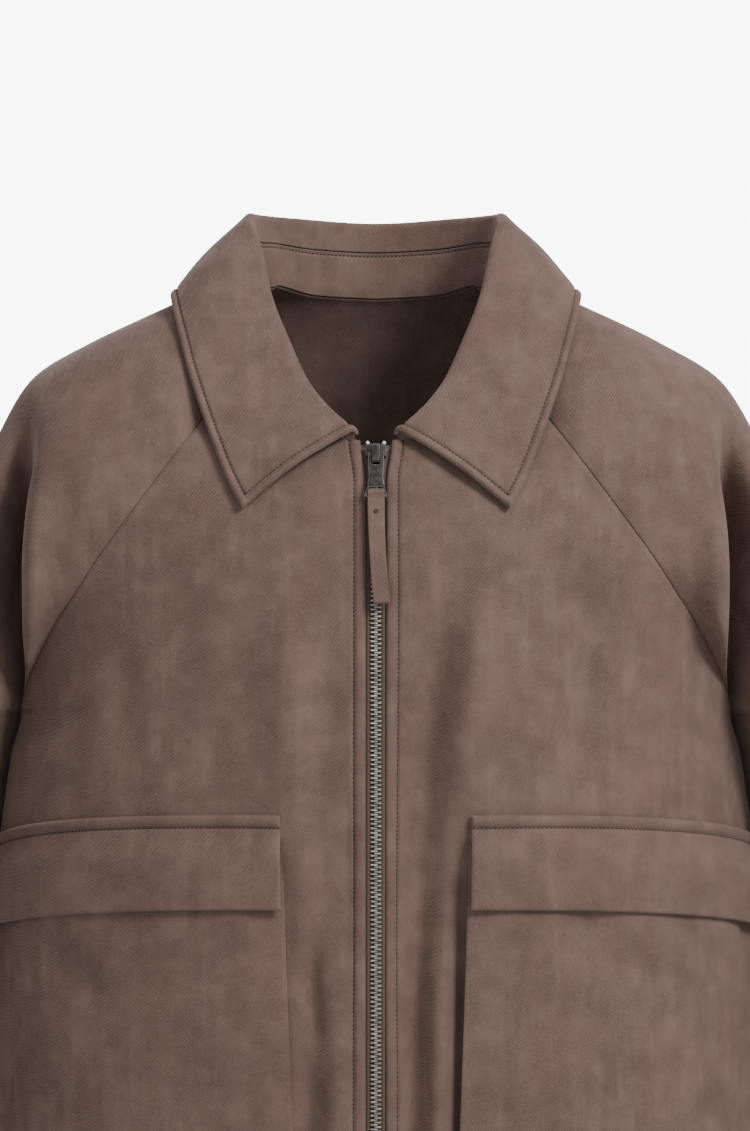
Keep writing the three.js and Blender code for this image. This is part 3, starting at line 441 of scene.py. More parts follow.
@dataclass
class BodyForm:
    """The body's surface: a rounded section at each height, with the creases of front and back."""

    power: float = 2.2
    neck_half_width: float = 80.0
    front_corner: float = 64.0
    back_corner: float = 125.0
    neck_front_z: float = -87.0
    armpit_z: float = -260.0
    middle_armpit_z: float = -254.0
    hem_front_z: float = -640.0
    hem_side_z: float = -654.0
    front_ease: float = 1.4
    wave: float = 17.0
    wave_height: float = 0.9
    creases: dict[Face, tuple[Crease, ...]] = field(
        default_factory=lambda: {Face.FRONT: FRONT_CREASES, Face.BACK: BACK_CREASES}
    )

    def __post_init__(self) -> None:
        """Reads the tables as curves."""
        self.half_width = column(BODY_LEVELS, "z", "half_width")
        self.depths = {
            Face.FRONT: column(BODY_LEVELS, "z", "front"),
            Face.BACK: column(BODY_LEVELS, "z", "back"),
        }
        self.neckline = column(NECKLINE, "angle", "z")
        self.sections = {name: column(SLEEVE_SECTIONS, None, name) for name in SleeveSection._fields}

    def sink(self, face: Face, x: Any, z: Any) -> Any:
        """How far the creases and the cloth's unevenness sink a place of the body.

        Args:
            face: The front or the back.
            x: Distances from the centre.
            z: Heights.

        Returns:
            The depths.
        """
        if face is Face.FRONT:
            share, phase = smooth(-z, 100.0, 170.0) * smooth(np.abs(x), 14.0, 40.0), 1.3
        else:
            share, phase = smooth(-z, 15.0, 80.0), 4.1
        wave = self.wave_height * uneven(x, z, phase, self.wave) * share
        return creased(self.creases[face], x, z) + wave

    def point(self, face: Face, x: Any, z: Any) -> np.ndarray:
        """Points of the front or back at distances x from the centre and heights z.

        Args:
            face: The front or the back.
            x: Distances from the centre.
            z: Heights.

        Returns:
            The points, in millimetres.
        """
        x, z = np.broadcast_arrays(np.asarray(x, float), np.asarray(z, float))
        share = np.minimum(np.abs(x) / self.half_width(z), 1.0)
        reach = (1.0 - share**self.power) ** (1.0 / self.power)
        inward = self.depths[face](z) * reach - self.sink(face, x, z) * reach
        y = -inward if face is Face.FRONT else inward
        return np.stack([x, y, z], axis=-1)

    def turn_at(self, x: Any, z: Any) -> Any:
        """The angle round the body's section at a distance x from the centre."""
        share = np.minimum(np.abs(x) / self.half_width(z), 1.0)
        return np.arcsin(share ** (self.power / 2.0))

    def x_at(self, turn: Any, z: Any) -> Any:
        """The distance from the centre at an angle round the section."""
        return self.half_width(z) * np.sin(turn) ** (2.0 / self.power)

    def row_ends(self, face: Face, row: Any) -> tuple[Any, Any, Any]:
        """The ends of rows of a panel: 0 is the neck, 1 the armpit and 2 the hem.

        Args:
            face: The panel's face.
            row: The rows.

        Returns:
            The x and z of the outer end, and the z of the middle end.
        """
        down = np.minimum(row, 1.0)
        below = np.maximum(row - 1.0, 0.0)
        station = down * ARMPIT_STATION
        top = self.neck_front_z if face is Face.FRONT else self.neckline(180.0)
        side_z = mix(self.armpit_z, self.hem_side_z, below)
        above = row <= 1.0
        outer_x = np.where(above, self.sections[f"{face.value}_x"](station), self.half_width(side_z))
        outer_z = np.where(above, self.sections[f"{face.value}_z"](station), side_z)
        middle_above = mix(top, self.middle_armpit_z, down)
        middle_below = mix(self.middle_armpit_z, self.hem_front_z, below)
        return outer_x, outer_z, np.where(above, middle_above, middle_below)

    def level(self, ends: tuple[Any, Any, Any], share: Any, middle_x: Any) -> tuple[Any, Any]:
        """Places along plain rows, as x and z.

        Args:
            ends: The rows' ends, as row_ends gives them.
            share: Shares of the way out.
            middle_x: Where the rows begin.

        Returns:
            The x and z of each place.
        """
        outer_x, outer_z, middle_z = ends
        z = mix(middle_z, outer_z, share * share)
        ease = self.front_ease if np.max(middle_x) > 0 else 1.0
        turn = mix(self.turn_at(middle_x, middle_z), self.turn_at(outer_x, outer_z), share**ease)
        return self.x_at(turn, z), z

    def panel(self, face: Face, side: Side, row: Any, share: Any, middle_x: Any) -> np.ndarray:
        """Points of a front or of half a back, by row and share of the way to the outer edge.

        Args:
            face: The front or the back.
            side: The side.
            row: Rows, from 0 at the neck to 2 at the hem.
            share: Shares of the way to the outer edge.
            middle_x: Where the rows begin.

        Returns:
            The points, in millimetres.
        """
        front = face is Face.FRONT
        middle = np.arcsin(middle_x / self.neck_half_width) if front else math.pi
        corner = math.radians(self.front_corner if front else self.back_corner)
        angle = mix(middle, corner, share)
        neck_x = self.neck_half_width * np.sin(angle)
        neck_z = self.neckline(np.degrees(angle))
        top_x, top_z = self.level(self.row_ends(face, np.zeros_like(row)), share, middle_x)
        x, z = self.level(self.row_ends(face, row), share, middle_x)
        held = (1.0 - np.minimum(row, 1.0)) ** 2
        return self.point(face, side.value * (x + (neck_x - top_x) * held), z + (neck_z - top_z) * held)

    def neck_point(self, side: Side, angle: float, sleeve: "SleeveForm") -> np.ndarray:
        """The neckline's point at an angle from the centre front.

        Args:
            side: The side.
            angle: The angle, in degrees.
            sleeve: The sleeve, whose top is part of the neckline.

        Returns:
            The point.
        """
        if self.front_corner < angle < self.back_corner:
            share = (angle - self.front_corner) / (self.back_corner - self.front_corner)
            return sleeve.point(side, np.array(0.0), np.array(share))
        face = Face.FRONT if angle <= self.front_corner else Face.BACK
        x = side.value * self.neck_half_width * math.sin(math.radians(angle))
        return self.point(face, x, self.neckline(angle))


@dataclass
class SleeveForm:
    """The raglan sleeve's surface, from the neck over the shoulder to the cuff."""

    body: BodyForm
    seam_hold: int = 6
    top_z: float = -48.0
    deep_z: float = -165.0
    fade_z: float = -300.0
    bottom_z: float = -430.0
    ridge_x: tuple[float, float] = (205.0, 217.0)
    ridge_half_width: float = 12.0
    ridge_rise: float = 8.0
    trough_x: tuple[float, float] = (223.0, 236.0)
    trough_half_width: float = 9.0
    trough_depth: float = 66.0
    tuck: float = 0.24
    clearance: float = 0.2
    lean_z: float = -250.0
    leans: tuple[float, float] = (0.12, 0.15)
    hug_z: tuple[float, float] = (-345.0, -460.0)
    free_y: tuple[float, float] = (-5.0, -30.0)
    seam_calm: float = 0.06

    def fold(self, x: Any, y: Any, z: Any, away: Any) -> Any:
        """How far the fold that hangs from the shoulder moves points back.

        Args:
            x: Distances from the centre.
            y: Depths.
            z: Heights.
            away: 0 at the seams and 1 away from them.

        Returns:
            The distances, less than 0 on the ridge.
        """
        along = smooth(-z, -self.top_z, -self.deep_z)
        fade = 1.0 - smooth(-z, -self.fade_z, -self.bottom_z)
        below = np.maximum(0.0, self.lean_z - z)
        ridge = mix(*self.ridge_x, along) + below * self.leans[0]
        trough = mix(*self.trough_x, along) + below * self.leans[1]
        front = smooth(-y, *(-free for free in self.free_y)) * along * fade * away
        rise = self.ridge_rise * bell(np.abs(x) - ridge, self.ridge_half_width)
        sink = self.trough_depth * bell(np.abs(x) - trough, self.trough_half_width)
        return front * (sink - rise)

    def point(self, side: Side, station: Any, around: Any) -> np.ndarray:
        """Points of the sleeve: station runs from the neck to the cuff, around from front to back.

        Args:
            side: The side.
            station: Places from the neck, by row of the table.
            around: Shares of the way from front to back.

        Returns:
            The points, in millimetres.
        """
        station, around = np.broadcast_arrays(np.asarray(station, float), np.asarray(around, float))
        at = {name: curve(station) for name, curve in self.body.sections.items()}
        closed = station >= ARMPIT_STATION
        front = self.body.point(Face.FRONT, side.value * at["front_x"], at["front_z"])
        back = self.body.point(Face.BACK, side.value * at["back_x"], at["back_z"])
        front_y = np.where(closed, at["mid_y"], front[..., 1])
        back_y = np.where(closed, at["mid_y"], back[..., 1])
        middle_y = (front_y + back_y) / 2.0
        arc = np.radians(at["arc"])
        turn = (2.0 * around - 1.0) * arc
        lift = (np.cos(turn) - np.cos(arc)) / (1.0 - np.cos(arc))
        spread = at["depth"] * np.sin(arc)
        y = mix(middle_y, at["mid_y"], lift) + at["depth"] * np.sin(turn)
        y = y + (front_y - middle_y + spread) * (1.0 - around) ** self.seam_hold
        y = y + (back_y - middle_y - spread) * around**self.seam_hold
        seam_x = mix(front[..., 0], back[..., 0], around)
        seam_z = mix(front[..., 2], back[..., 2], around)
        middle_x = (front[..., 0] + back[..., 0]) / 2.0
        middle_z = (front[..., 2] + back[..., 2]) / 2.0
        x = mix(middle_x, side.value * at["top_x"], lift) + (seam_x - middle_x) * (1.0 - lift)
        z = mix(middle_z, at["top_z"], lift) + (seam_z - middle_z) * (1.0 - lift)
        apart = np.abs(at["front_x"]) - self.body.half_width(at["front_z"]) - self.clearance
        near = 1.0 - smooth(-z, *(-limit for limit in self.hug_z))
        x = x - side.value * np.maximum(apart, 0.0) * closed * near * (1.0 - lift) ** 2
        away = np.where(closed, 1.0, smooth(around, 0.0, self.seam_calm))
        fold = self.fold(x, y, z, away)
        return np.stack([x - side.value * self.tuck * np.maximum(fold, 0.0), y + fold, z], axis=-1)


@dataclass
class Stitching:
    """Rows of machine stitches, gathered and then made as one mesh."""

    name: str
    body: str = JACKET
    pitch: float = 2.7
    length: float = 2.0
    width: float = 1.0
    height: float = 0.5
    feel: float = 0.8
    places: list[np.ndarray] = field(default_factory=list)

    def add(self, points: np.ndarray, normals: np.ndarray) -> None:
        """Adds a row of stitches along a line.

        Args:
            points: The line's points, in millimetres.
            normals: The way out of the cloth at each of them.
        """
        run = lengths(points[None], 1)[0]
        count = int(run[-1] / self.pitch)
        if count < 2:
            return
        middles = (np.arange(count) + 0.5) * run[-1] / count
        centre = read_along(middles, run, points)
        before, after = (read_along(middles + d, run, points) for d in (-self.feel, self.feel))
        along = unit(after - before)
        out = read_along(middles, run, normals)
        out = unit(out - along * np.sum(out * along, axis=1, keepdims=True))
        self.places.append(np.stack([centre, along, np.cross(out, along), out], axis=1))

    def make(self, finish: "Thread") -> bpy.types.Object:
        """Makes the mesh of all the rows, rides it and returns it.

        Args:
            finish: The thread's finish.

        Returns:
            The piece.
        """
        bpy.ops.object.select_all(action="DESELECT")
        bpy.ops.mesh.primitive_uv_sphere_add(segments=6, ring_count=4, radius=0.5)
        shape, faces = taken(bpy.context.object)
        shape = np.stack([shape[:, 2], shape[:, 0], shape[:, 1]], axis=1)
        shape *= np.array([self.length, self.width, 2.0 * self.height])
        frames = np.concatenate(self.places)
        points = frames[:, None, 0] + np.einsum("vk,skx->svx", shape, frames[:, 1:])
        step = len(shape)
        all_faces = [tuple(i * step + v for v in face) for i in range(len(frames)) for face in faces]
        piece = mesh_object(self.name, points.reshape(-1, 3), all_faces)
        finish.dress(piece)
        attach(piece, self.body)
        return piece


def taken(block: bpy.types.Object) -> tuple[np.ndarray, list[tuple[int, ...]]]:
    """The points and faces of a small object, which is removed with its mesh.

    Args:
        block: The object.

    Returns:
        Its points, and its faces as numbers of points.
    """
    points = np.array([vertex.co[:] for vertex in block.data.vertices])
    faces = [tuple(polygon.vertices) for polygon in block.data.polygons]
    bpy.data.meshes.remove(block.data)
    return points, faces


def stand_in(piece: bpy.types.Object, body: str, node: str) -> None:
    """Rides a piece on its body in place of a CAD node.

    Args:
        piece: The piece.
        body: The body it rides on.
        node: The CAD node it replaces.
    """
    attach(piece, body)
    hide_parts(node)


def mesh_object(name: str, points: np.ndarray, faces: Sequence[Sequence[int]]) -> bpy.types.Object:
    """A smooth mesh from points in millimetres, with its place in the mesh.

    Args:
        name: Its name.
        points: Its points, in millimetres.
        faces: Its faces, as numbers of points.

    Returns:
        The object.
    """
    mesh = bpy.data.meshes.new(name)
    mesh.from_pydata((np.asarray(points) * MM).tolist(), [], list(faces))
    mesh.polygons.foreach_set("use_smooth", [True] * len(mesh.polygons))
    mesh.update()
    piece = bpy.data.objects.new(name, mesh)
    bpy.context.scene.collection.objects.link(piece)
    return piece


class Cloth:
    """A piece of cloth: a closed thin slab with rolled edges, grooves and stitch rows."""

    edge_round = 0.75
    groove_half_width = 0.95
    pucker_half_width = 4.5

    def __init__(self, name: str, points: np.ndarray, wall: float, behind: Triple = INSIDE) -> None:
        """Finds the way out and the distances from the edges.

        Args:
            name: The piece's name.
            points: Its visible points in rows and columns, in millimetres.
            wall: Its thickness.
            behind: A place that the middle point's way out leads away from.
        """
        self.name = name
        self.points = points
        self.wall = wall
        self.behind = behind
        self.round = dict.fromkeys(Edge, self.edge_round * wall)
        self.relief = np.zeros(points.shape[:2])
        self.measure()

    def measure(self) -> None:
        """Works out the normals and the distances from each edge again."""
        across = np.gradient(self.points, axis=1)
        down = np.gradient(self.points, axis=0)
        normals = np.cross(across, down)
        normals /= np.linalg.norm(normals, axis=2, keepdims=True) + 1e-12
        r, c = (n // 2 for n in self.points.shape[:2])
        if np.dot(normals[r, c], self.points[r, c] - self.behind) < 0:
            normals = -normals
        self.normals = normals
        rows, columns = lengths(self.points, 1), lengths(self.points, 0)
        self.away = {
            Edge.FIRST: rows,
            Edge.LAST: rows[:, -1:] - rows,
            Edge.TOP: columns,
            Edge.BOTTOM: columns[-1:] - columns,
        }
        self.u = rows - rows[:, -1:] / 2.0
        self.v = columns

    def close_ring(self, first_row: int) -> None:
        """Gives both long edges shared normals below a row, where they are sewn to each other."""
        shared = unit(self.normals[first_row:, 0] + self.normals[first_row:, -1])
        self.normals[first_row:, 0] = self.normals[first_row:, -1] = shared

    def push(self, amount: np.ndarray) -> None:
        """Moves the cloth out by an amount at each point."""
        self.points = self.points + self.normals * amount[..., None]
        self.measure()

    def roll(self, edge: Edge, width: float, height: float) -> None:
        """Makes the strip along an edge stand up softly, as cloth turned in on itself does."""
        share = np.clip(self.away[edge] / width, 0.0, 1.0)
        self.relief += height * np.sin(np.pi * share**0.8) * (share < 1.0)

    def pucker(self, edge: Edge, distance: float, height: float, wave: float = 2.6) -> None:
        """Small gathers that a seam leaves in the cloth beside it.

        Args:
            edge: The edge that the seam follows.
            distance: The distance from it.
            height: The height of the gathers.
            wave: Their length over 2 pi.
        """
        along = self.v if edge in (Edge.FIRST, Edge.LAST) else self.u
        drift = 1.4 * np.sin(along / (4.7 * wave)) + 0.8 * np.sin(along / (11 * wave))
        near = bell(self.away[edge] - distance, self.pucker_half_width)
        self.relief += height * np.sin(along / wave + drift) * near

    def groove(self, edge: Edge, distance: float, depth: float, stops: Sequence[Edge] = ()) -> None:
        """Sinks a line at a distance from an edge, as a stitch row does.

        Args:
            edge: The edge.
            distance: The distance from it.
            depth: The groove's depth.
            stops: Edges at which it ends at the same distance.
        """
        kept = np.ones_like(self.relief)
        for stop in stops:
            kept *= smooth(self.away[stop], distance - 0.8, distance + 0.4)
        self.relief -= depth * bell(self.away[edge] - distance, self.groove_half_width) * kept

    def line(self, edge: Edge, distance: float, stops: Sequence[Edge] = ()) -> tuple[np.ndarray, np.ndarray]:
        """The points and normals of a line at a distance from an edge.

        Args:
            edge: The edge.
            distance: The distance from it, in millimetres.
            stops: Edges that the line keeps the same distance from.

        Returns:
            The points and the way out at each.
        """
        grids = [self.points + self.normals * self.relief[..., None], self.normals]
        aways = [self.away[e] for e in (edge, *stops)]
        if edge in (Edge.TOP, Edge.BOTTOM):
            grids, aways = ([np.swapaxes(grid, 0, 1) for grid in found] for found in (grids, aways))
        away, *others = aways
        found: list[list[np.ndarray]] = [[], []]
        for i, row in enumerate(away):
            order = np.argsort(row)
            place = np.interp(distance, row[order], order.astype(float))
            low = min(int(place), len(row) - 2)
            part = place - low
            if any(mix(o[i, low], o[i, low + 1], part) < distance for o in others):
                continue
            for k, grid in enumerate(grids):
                found[k].append(mix(grid[i, low], grid[i, low + 1], part))
        return np.array(found[0]), np.array(found[1])

    def topstitch(
        self, edge: Edge, distance: float, depth: float, rows: Stitching, stops: Sequence[Edge] = ()
    ) -> None:
        """Sinks a groove and sews a row of stitches in it.

        Args:
            edge: The edge that it runs along.
            distance: The distance from it, in millimetres.
            depth: The groove's depth.
            rows: The rows that the stitches are added to.
            stops: Edges that the row keeps the same distance from.
        """
        self.groove(edge, distance, depth, stops)
        rows.add(*self.line(edge, distance, stops))

    def slab(self) -> tuple[np.ndarray, np.ndarray]:
        """The points and faces of the closed slab.

        Returns:
            The points in millimetres, and four corners for each face.
        """
        r, c = self.points.shape[:2]
        nearest = np.minimum.reduce([self.away[edge] / self.round[edge] for edge in Edge])
        height = np.sqrt(np.maximum(0.0, 1.0 - (1.0 - np.clip(nearest, 0.0, 1.0)) ** 2))
        half = self.wall / 2.0
        lift = (-half + height * half + self.relief * height)[..., None]
        outer = self.points + self.normals * lift
        inner = self.points - self.normals * (half + height * half)[..., None]
        ids = np.arange(r * c).reshape(r, c)
        within = np.zeros((r, c), bool)
        within[1:-1, 1:-1] = True
        inner_ids = ids.copy()
        inner_ids[within] = r * c + np.arange(int(within.sum()))
        points = np.concatenate([outer.reshape(-1, 3), inner[within]])
        quads = []
        for grid, order in ((ids, (0, 1, 2, 3)), (inner_ids, (3, 2, 1, 0))):
            corners = [grid[:-1, :-1], grid[:-1, 1:], grid[1:, 1:], grid[1:, :-1]]
            quads.append(np.stack([corners[k].ravel() for k in order], axis=1))
        faces = np.concatenate(quads)
        a, b, d = points[faces[:, 0]], points[faces[:, 1]], points[faces[:, 2]]
        if np.einsum("ij,ij->", a, np.cross(b, d)) < 0:
            faces = faces[:, ::-1]
        return points, faces

    def make(self, finish: "Finish", node: str, body: str = JACKET, slot: str = "suede") -> bpy.types.Object:
        """Makes the closed mesh in place of its CAD node, and returns it.

        Args:
            finish: Its finish.
            node: The CAD node.
            body: The body it rides on.
            slot: Not used.

        Returns:
            The piece.
        """
        points, faces = self.slab()
        piece = mesh_object(self.name, points, faces.tolist())
        finish.dress(piece)
        stand_in(piece, body, node)
        log.info("%s: %d faces", self.name, len(faces))
        return piece

    def declare(self, piece: bpy.types.Object, flat: tuple[float, float], held: str, *rests_on: str) -> None:
        """Args:
            piece: The piece, as make returned it. Not used.
            flat: The sides of the smallest rectangle that its cut lies in, in metres.
            held: How it is held. Not used.
            rests_on: The nodes it is sewn to. Not used.
        """
        area = math.floor(min(self.flat_area(), flat[0] * flat[1]) * AREA_PARTS) / AREA_PARTS

    def flat_area(self) -> float:
        """The area of the cloth, in square metres."""
        a = self.points[1:, :-1] - self.points[:-1, 1:]
        b = self.points[1:, 1:] - self.points[:-1, :-1]
        return float(np.linalg.norm(np.cross(a, b), axis=2).sum() / 2.0 * MM * MM)


EDGE_STEPS = (0.0, 0.2, 0.45, 0.8, 1.3, 2.0, 3.0, 4.4)
TAPE_STEPS = (1.0, 1.2, 1.6, 2.4, 3.0, 3.5, 4.0, 4.6, 5.2, 5.8, 6.4, 7.2, 9.0, 12.0, 13.4, 13.8, 14.0)
ROW_STEPS = (-2.4, -1.5, -0.9, -0.4, 0.0, 0.4, 0.9, 1.5, 2.4, 3.6)


def spaced(total: Any, first: Sequence[float], last: Sequence[float], middle: int) -> np.ndarray:
    """Distances along rows: fixed near both ends and even between them.

    Args:
        total: Each row's length.
        first: Rising distances from the first end.
        last: Rising distances from the last end.
        middle: How many even steps lie between.

    Returns:
        One row of distances for each total.
    """
    total = np.atleast_1d(np.asarray(total, float))[:, None]
    even = np.linspace(0.0, 1.0, middle + 1)[1:-1]
    head = np.broadcast_to(np.asarray(first, float), (len(total), len(first)))
    tail = total - np.asarray(last, float)[::-1]
    return np.concatenate([head, mix(first[-1], total - last[-1], even), tail], axis=1)


def shares(first: np.ndarray, last: np.ndarray, middle: int) -> np.ndarray:
    """Shares from 0 to 1: as given near both ends and even between them."""
    return np.concatenate([first, np.linspace(first[-1], 1 - last[-1], middle)[1:-1], 1 - last[::-1]])


def respace(
    make: Callable[[np.ndarray], np.ndarray], first: Sequence[float], last: Sequence[float], middle: int
) -> np.ndarray:
    """Shares along each row at which its points lie at given distances from its ends.

    Args:
        make: Gives the rows' points for one row of shares.
        first: Rising distances from the first end.
        last: Rising distances from the last end.
        middle: How many even steps lie between.

    Returns:
        The shares, row by row.
    """
    dense = np.linspace(0.0, 1.0, 241)
    run = lengths(make(dense[None, :]), 1)
    wanted = spaced(run[:, -1], first, last, middle)
    return np.stack([np.interp(want, row, dense) for want, row in zip(wanted, run)])


def around(distance: float) -> tuple[float, ...]:
    """Edge distances that lie close together at a stitch row."""
    near = [distance + d for d in ROW_STEPS]
    return tuple(d for d in EDGE_STEPS if d < near[0] - 0.3) + tuple(near)


class Field:
    """A shader value that adds its Math nodes when it meets an operator."""

    def __init__(self, tree: bpy.types.NodeTree, socket: Any) -> None:
        """Wraps a socket of the tree, or a plain number."""
        self.tree = tree
        self.socket = socket

    def _with(self, operation: str, first: Any, second: Any = 0.0) -> "Field":
        """A Math node on the given values."""
        node = add_node(self.tree, "ShaderNodeMath", {"operation": operation}, {0: first, 1: second})
        return Field(self.tree, node.outputs[0])

    def __add__(self, other: Any) -> "Field":
        """The sum."""
        return self._with("ADD", self, other)

    __radd__ = __add__

    def __sub__(self, other: Any) -> "Field":
        """The difference."""
        return self._with("SUBTRACT", self, other)

    def __rsub__(self, other: Any) -> "Field":
        """The difference the other way round."""
        return self._with("SUBTRACT", other, self)

    def __mul__(self, other: Any) -> "Field":
        """The product."""
        return self._with("MULTIPLY", self, other)

    __rmul__ = __mul__

    def sine(self) -> "Field":
        """The sine, in radians."""
        return self._with("SINE", self)

    def step(self, low: float, high: float) -> "Field":
        """A soft step from 0 to 1 between two values."""
        settings = {"interpolation_type": "SMOOTHSTEP"}
        values = {"Value": self, "From Min": low, "From Max": high}
        return Field(self.tree, add_node(self.tree, "ShaderNodeMapRange", settings, values).outputs[0])


def add_node(
    tree: bpy.types.NodeTree, kind: str, settings: dict[str, Any], values: dict[Any, Any]
) -> bpy.types.Node:
    """Adds a node to a material.

    Args:
        tree: The material's nodes.
        kind: The node's type.
        settings: Its own settings, set first.
        values: Values, fields or sockets for its inputs.

    Returns:
        The node.
    """
    node = tree.nodes.new(kind)
    for name, value in settings.items():
        setattr(node, name, value)
    for name, value in values.items():
        value = value.socket if isinstance(value, Field) else value
        if isinstance(value, bpy.types.NodeSocket):
            tree.links.new(value, node.inputs[name])
        else:
            node.inputs[name].default_value = value
    return node


def opaque(colour: Any) -> Any:
    """A plain colour with its alpha; a socket as it is."""
    return (*colour, 1.0) if isinstance(colour, tuple) else colour


def blended(tree: bpy.types.NodeTree, share: Field, a: Any, b: Any) -> Any:
    """A Mix node's colour between two colours.

    Args:
        tree: The nodes.
        share: How much of the second colour shows.
        a: The first colour.
        b: The second colour.

    Returns:
        The mixed colour's socket.
    """
    settings = {"data_type": "RGBA", "blend_type": "MIX", "clamp_factor": True}
    return add_node(tree, "ShaderNodeMix", settings, {0: share, 6: opaque(a), 7: opaque(b)}).outputs[2]


def noise(
    tree: bpy.types.NodeTree, place: Any, scale: float, detail: float = 2.0, rough: float = 0.5
) -> Field:
    """A noise texture's value, about 0.5 in the mean."""
    values = {"Vector": place, "Scale": scale, "Detail": detail, "Roughness": rough}
    return Field(tree, add_node(tree, "ShaderNodeTexNoise", {}, values).outputs[0])


def placed(tree: bpy.types.NodeTree, turn: float = 0.0, scale: Triple = (1.0, 1.0, 1.0)) -> Any:
    """The piece's own coordinates, turned about Z and scaled.

    Args:
        tree: The nodes.
        turn: The turn about Z, in radians.
        scale: The scale along each axis.

    Returns:
        The place's socket.
    """
    source = add_node(tree, "ShaderNodeTexCoord", {}, {}).outputs["Object"]
    values = {"Vector": source, "Rotation": (0.0, 0.0, turn), "Scale": scale}
    return add_node(tree, "ShaderNodeMapping", {}, values).outputs[0]


def parts(tree: bpy.types.NodeTree, place: Any) -> list[Field]:
    """A place's x, y and z."""
    split = add_node(tree, "ShaderNodeSeparateXYZ", {}, {"Vector": place})
    return [Field(tree, part) for part in split.outputs]


class Surface(NamedTuple):
    """What a finish varies over a piece."""

    colour: Any
    rough: Field
    height: Field


@dataclass(frozen=True)
class Finish:
    """A procedural material, made once and shared by every piece that has it."""

    name: str
    tone: Triple
    deep: Triple
    bump: float = 0.4
    bump_depth: float = 0.0002

    def fixed(self) -> dict[str, Any]:
        """Values that are set on the shader's own sockets."""
        raise NotImplementedError

    def surface(self, tree: bpy.types.NodeTree) -> Surface:
        """Builds the nodes of what varies."""
        raise NotImplementedError

    def material(self) -> bpy.types.Material:
        """Builds the material, or gives the one already built.

        Returns:
            The material.
        """
        if self.name in bpy.data.materials:
            return bpy.data.materials[self.name]
        material, shader = start_material(self.name, self.fixed())
        tree = material.node_tree
        made = self.surface(tree)
        values = {"Strength": self.bump, "Distance": self.bump_depth, "Height": made.height}
        bump = add_node(tree, "ShaderNodeBump", {}, values)
        tree.links.new(made.colour, shader.inputs["Base Color"])
        tree.links.new(made.rough.socket, shader.inputs["Roughness"])
        tree.links.new(bump.outputs[0], shader.inputs["Normal"])
        return material

    def dress(self, piece: bpy.types.Object) -> None:
        """Gives a piece this finish."""
        piece.data.materials.clear()
        piece.data.materials.append(self.material())


def start_material(name: str, fixed: dict[str, Any]) -> tuple[bpy.types.Material, bpy.types.Node]:
    """A new material and its Principled shader, with its fixed values set.

    Args:
        name: Its name.
        fixed: Values by the name of the shader's socket.

    Returns:
        The material and the shader.
    """
    material = bpy.data.materials.new(name)
    material.use_nodes = True
    shader = material.node_tree.nodes["Principled BSDF"]
    for socket, value in fixed.items():
        shader.inputs[socket].default_value = value
    return material, shader


@dataclass(frozen=True)
class Suede(Finish):
    """Brushed suede with a fine diagonal grain, soft patches where the nap lies another way, and streaks."""

    name: str = "brushed_suede"
    tone: Triple = (0.215, 0.142, 0.117)
    deep: Triple = (0.140, 0.088, 0.072)
    bump: float = 0.42
    bump_depth: float = 0.0004
    pale: Triple = (0.310, 0.215, 0.183)
    pit: Triple = (0.070, 0.040, 0.032)
    red: Triple = (0.222, 0.128, 0.108)
    sheen: Triple = (0.86, 0.72, 0.66)
    grain_width: float = 0.0015
    grain_depth: float = 0.6
    grain_strength: float = 0.55

    def fixed(self) -> dict[str, Any]:
        """Little gloss, and the nap's sheen."""
        sheen = {"Sheen Weight": 0.32, "Sheen Roughness": 0.42, "Sheen Tint": opaque(self.sheen)}
        return {"Specular IOR Level": 0.12, **sheen}

    def grain(self, tree: bpy.types.NodeTree, solid: Any) -> Field:
        """Short diagonal ribs that lean one way or the other, worn off in places.

        Args:
            tree: The nodes.
            solid: The piece's own coordinates.

        Returns:
            The grain, from 0 to 1.
        """
        x, y, z = parts(tree, solid)
        side = x + y * self.grain_depth
        turns = math.tau / (self.grain_width * math.sqrt(2.0))
        drift = noise(tree, solid, 420.0) * 5.0
        right, left = ((place * turns + drift).sine() for place in (side + z, side - z))
        lean = noise(tree, solid, 210.0).step(0.40, 0.60)
        ribs = right * lean + left * (1.0 - lean)
        return (ribs * 0.5 + 0.5) * noise(tree, solid, 60.0).step(0.15, 0.7)

    def surface(self, tree: bpy.types.NodeTree) -> Surface:
        """Patches, blotches, streaks and a warm tint under the grain and the fibres.

        Args:
            tree: The nodes.

        Returns:
            Colour, roughness and height.
        """
        solid = placed(tree)
        patches = noise(tree, solid, 24.0, 3.0, 0.55)
        blotches = noise(tree, solid, 75.0, 3.0, 0.6)
        streaks = noise(tree, placed(tree, 0.0, (110.0, 60.0, 13.0)), 1.0, 3.0, 0.55)
        warm = noise(tree, placed(tree, 0.4, (19.0, 14.0, 9.0)), 1.0, 3.0, 0.6)
        fibres = noise(tree, solid, 1500.0, 2.0, 0.6)
        grain = self.grain(tree, solid)
        colour = blended(tree, patches.step(0.25, 0.75) * 0.8 + 0.1, self.deep, self.tone)
        layers = (
            (blotches.step(0.35, 0.75) * 0.30, self.pale),
            (streaks.step(0.48, 0.74) * 0.28, self.pale),
            ((1.0 - streaks).step(0.50, 0.76) * 0.28, self.deep),
            (warm.step(0.50, 0.70) * 0.50, self.red),
            (grain * self.grain_strength, self.pit),
            (fibres.step(0.35, 0.8) * 0.40, self.pale),
        )
        for share, over in layers:
            colour = blended(tree, share, colour, over)
        return Surface(colour, patches * 0.10 + 0.84, grain * 0.5 + fibres * 0.55 + blotches * 0.6)


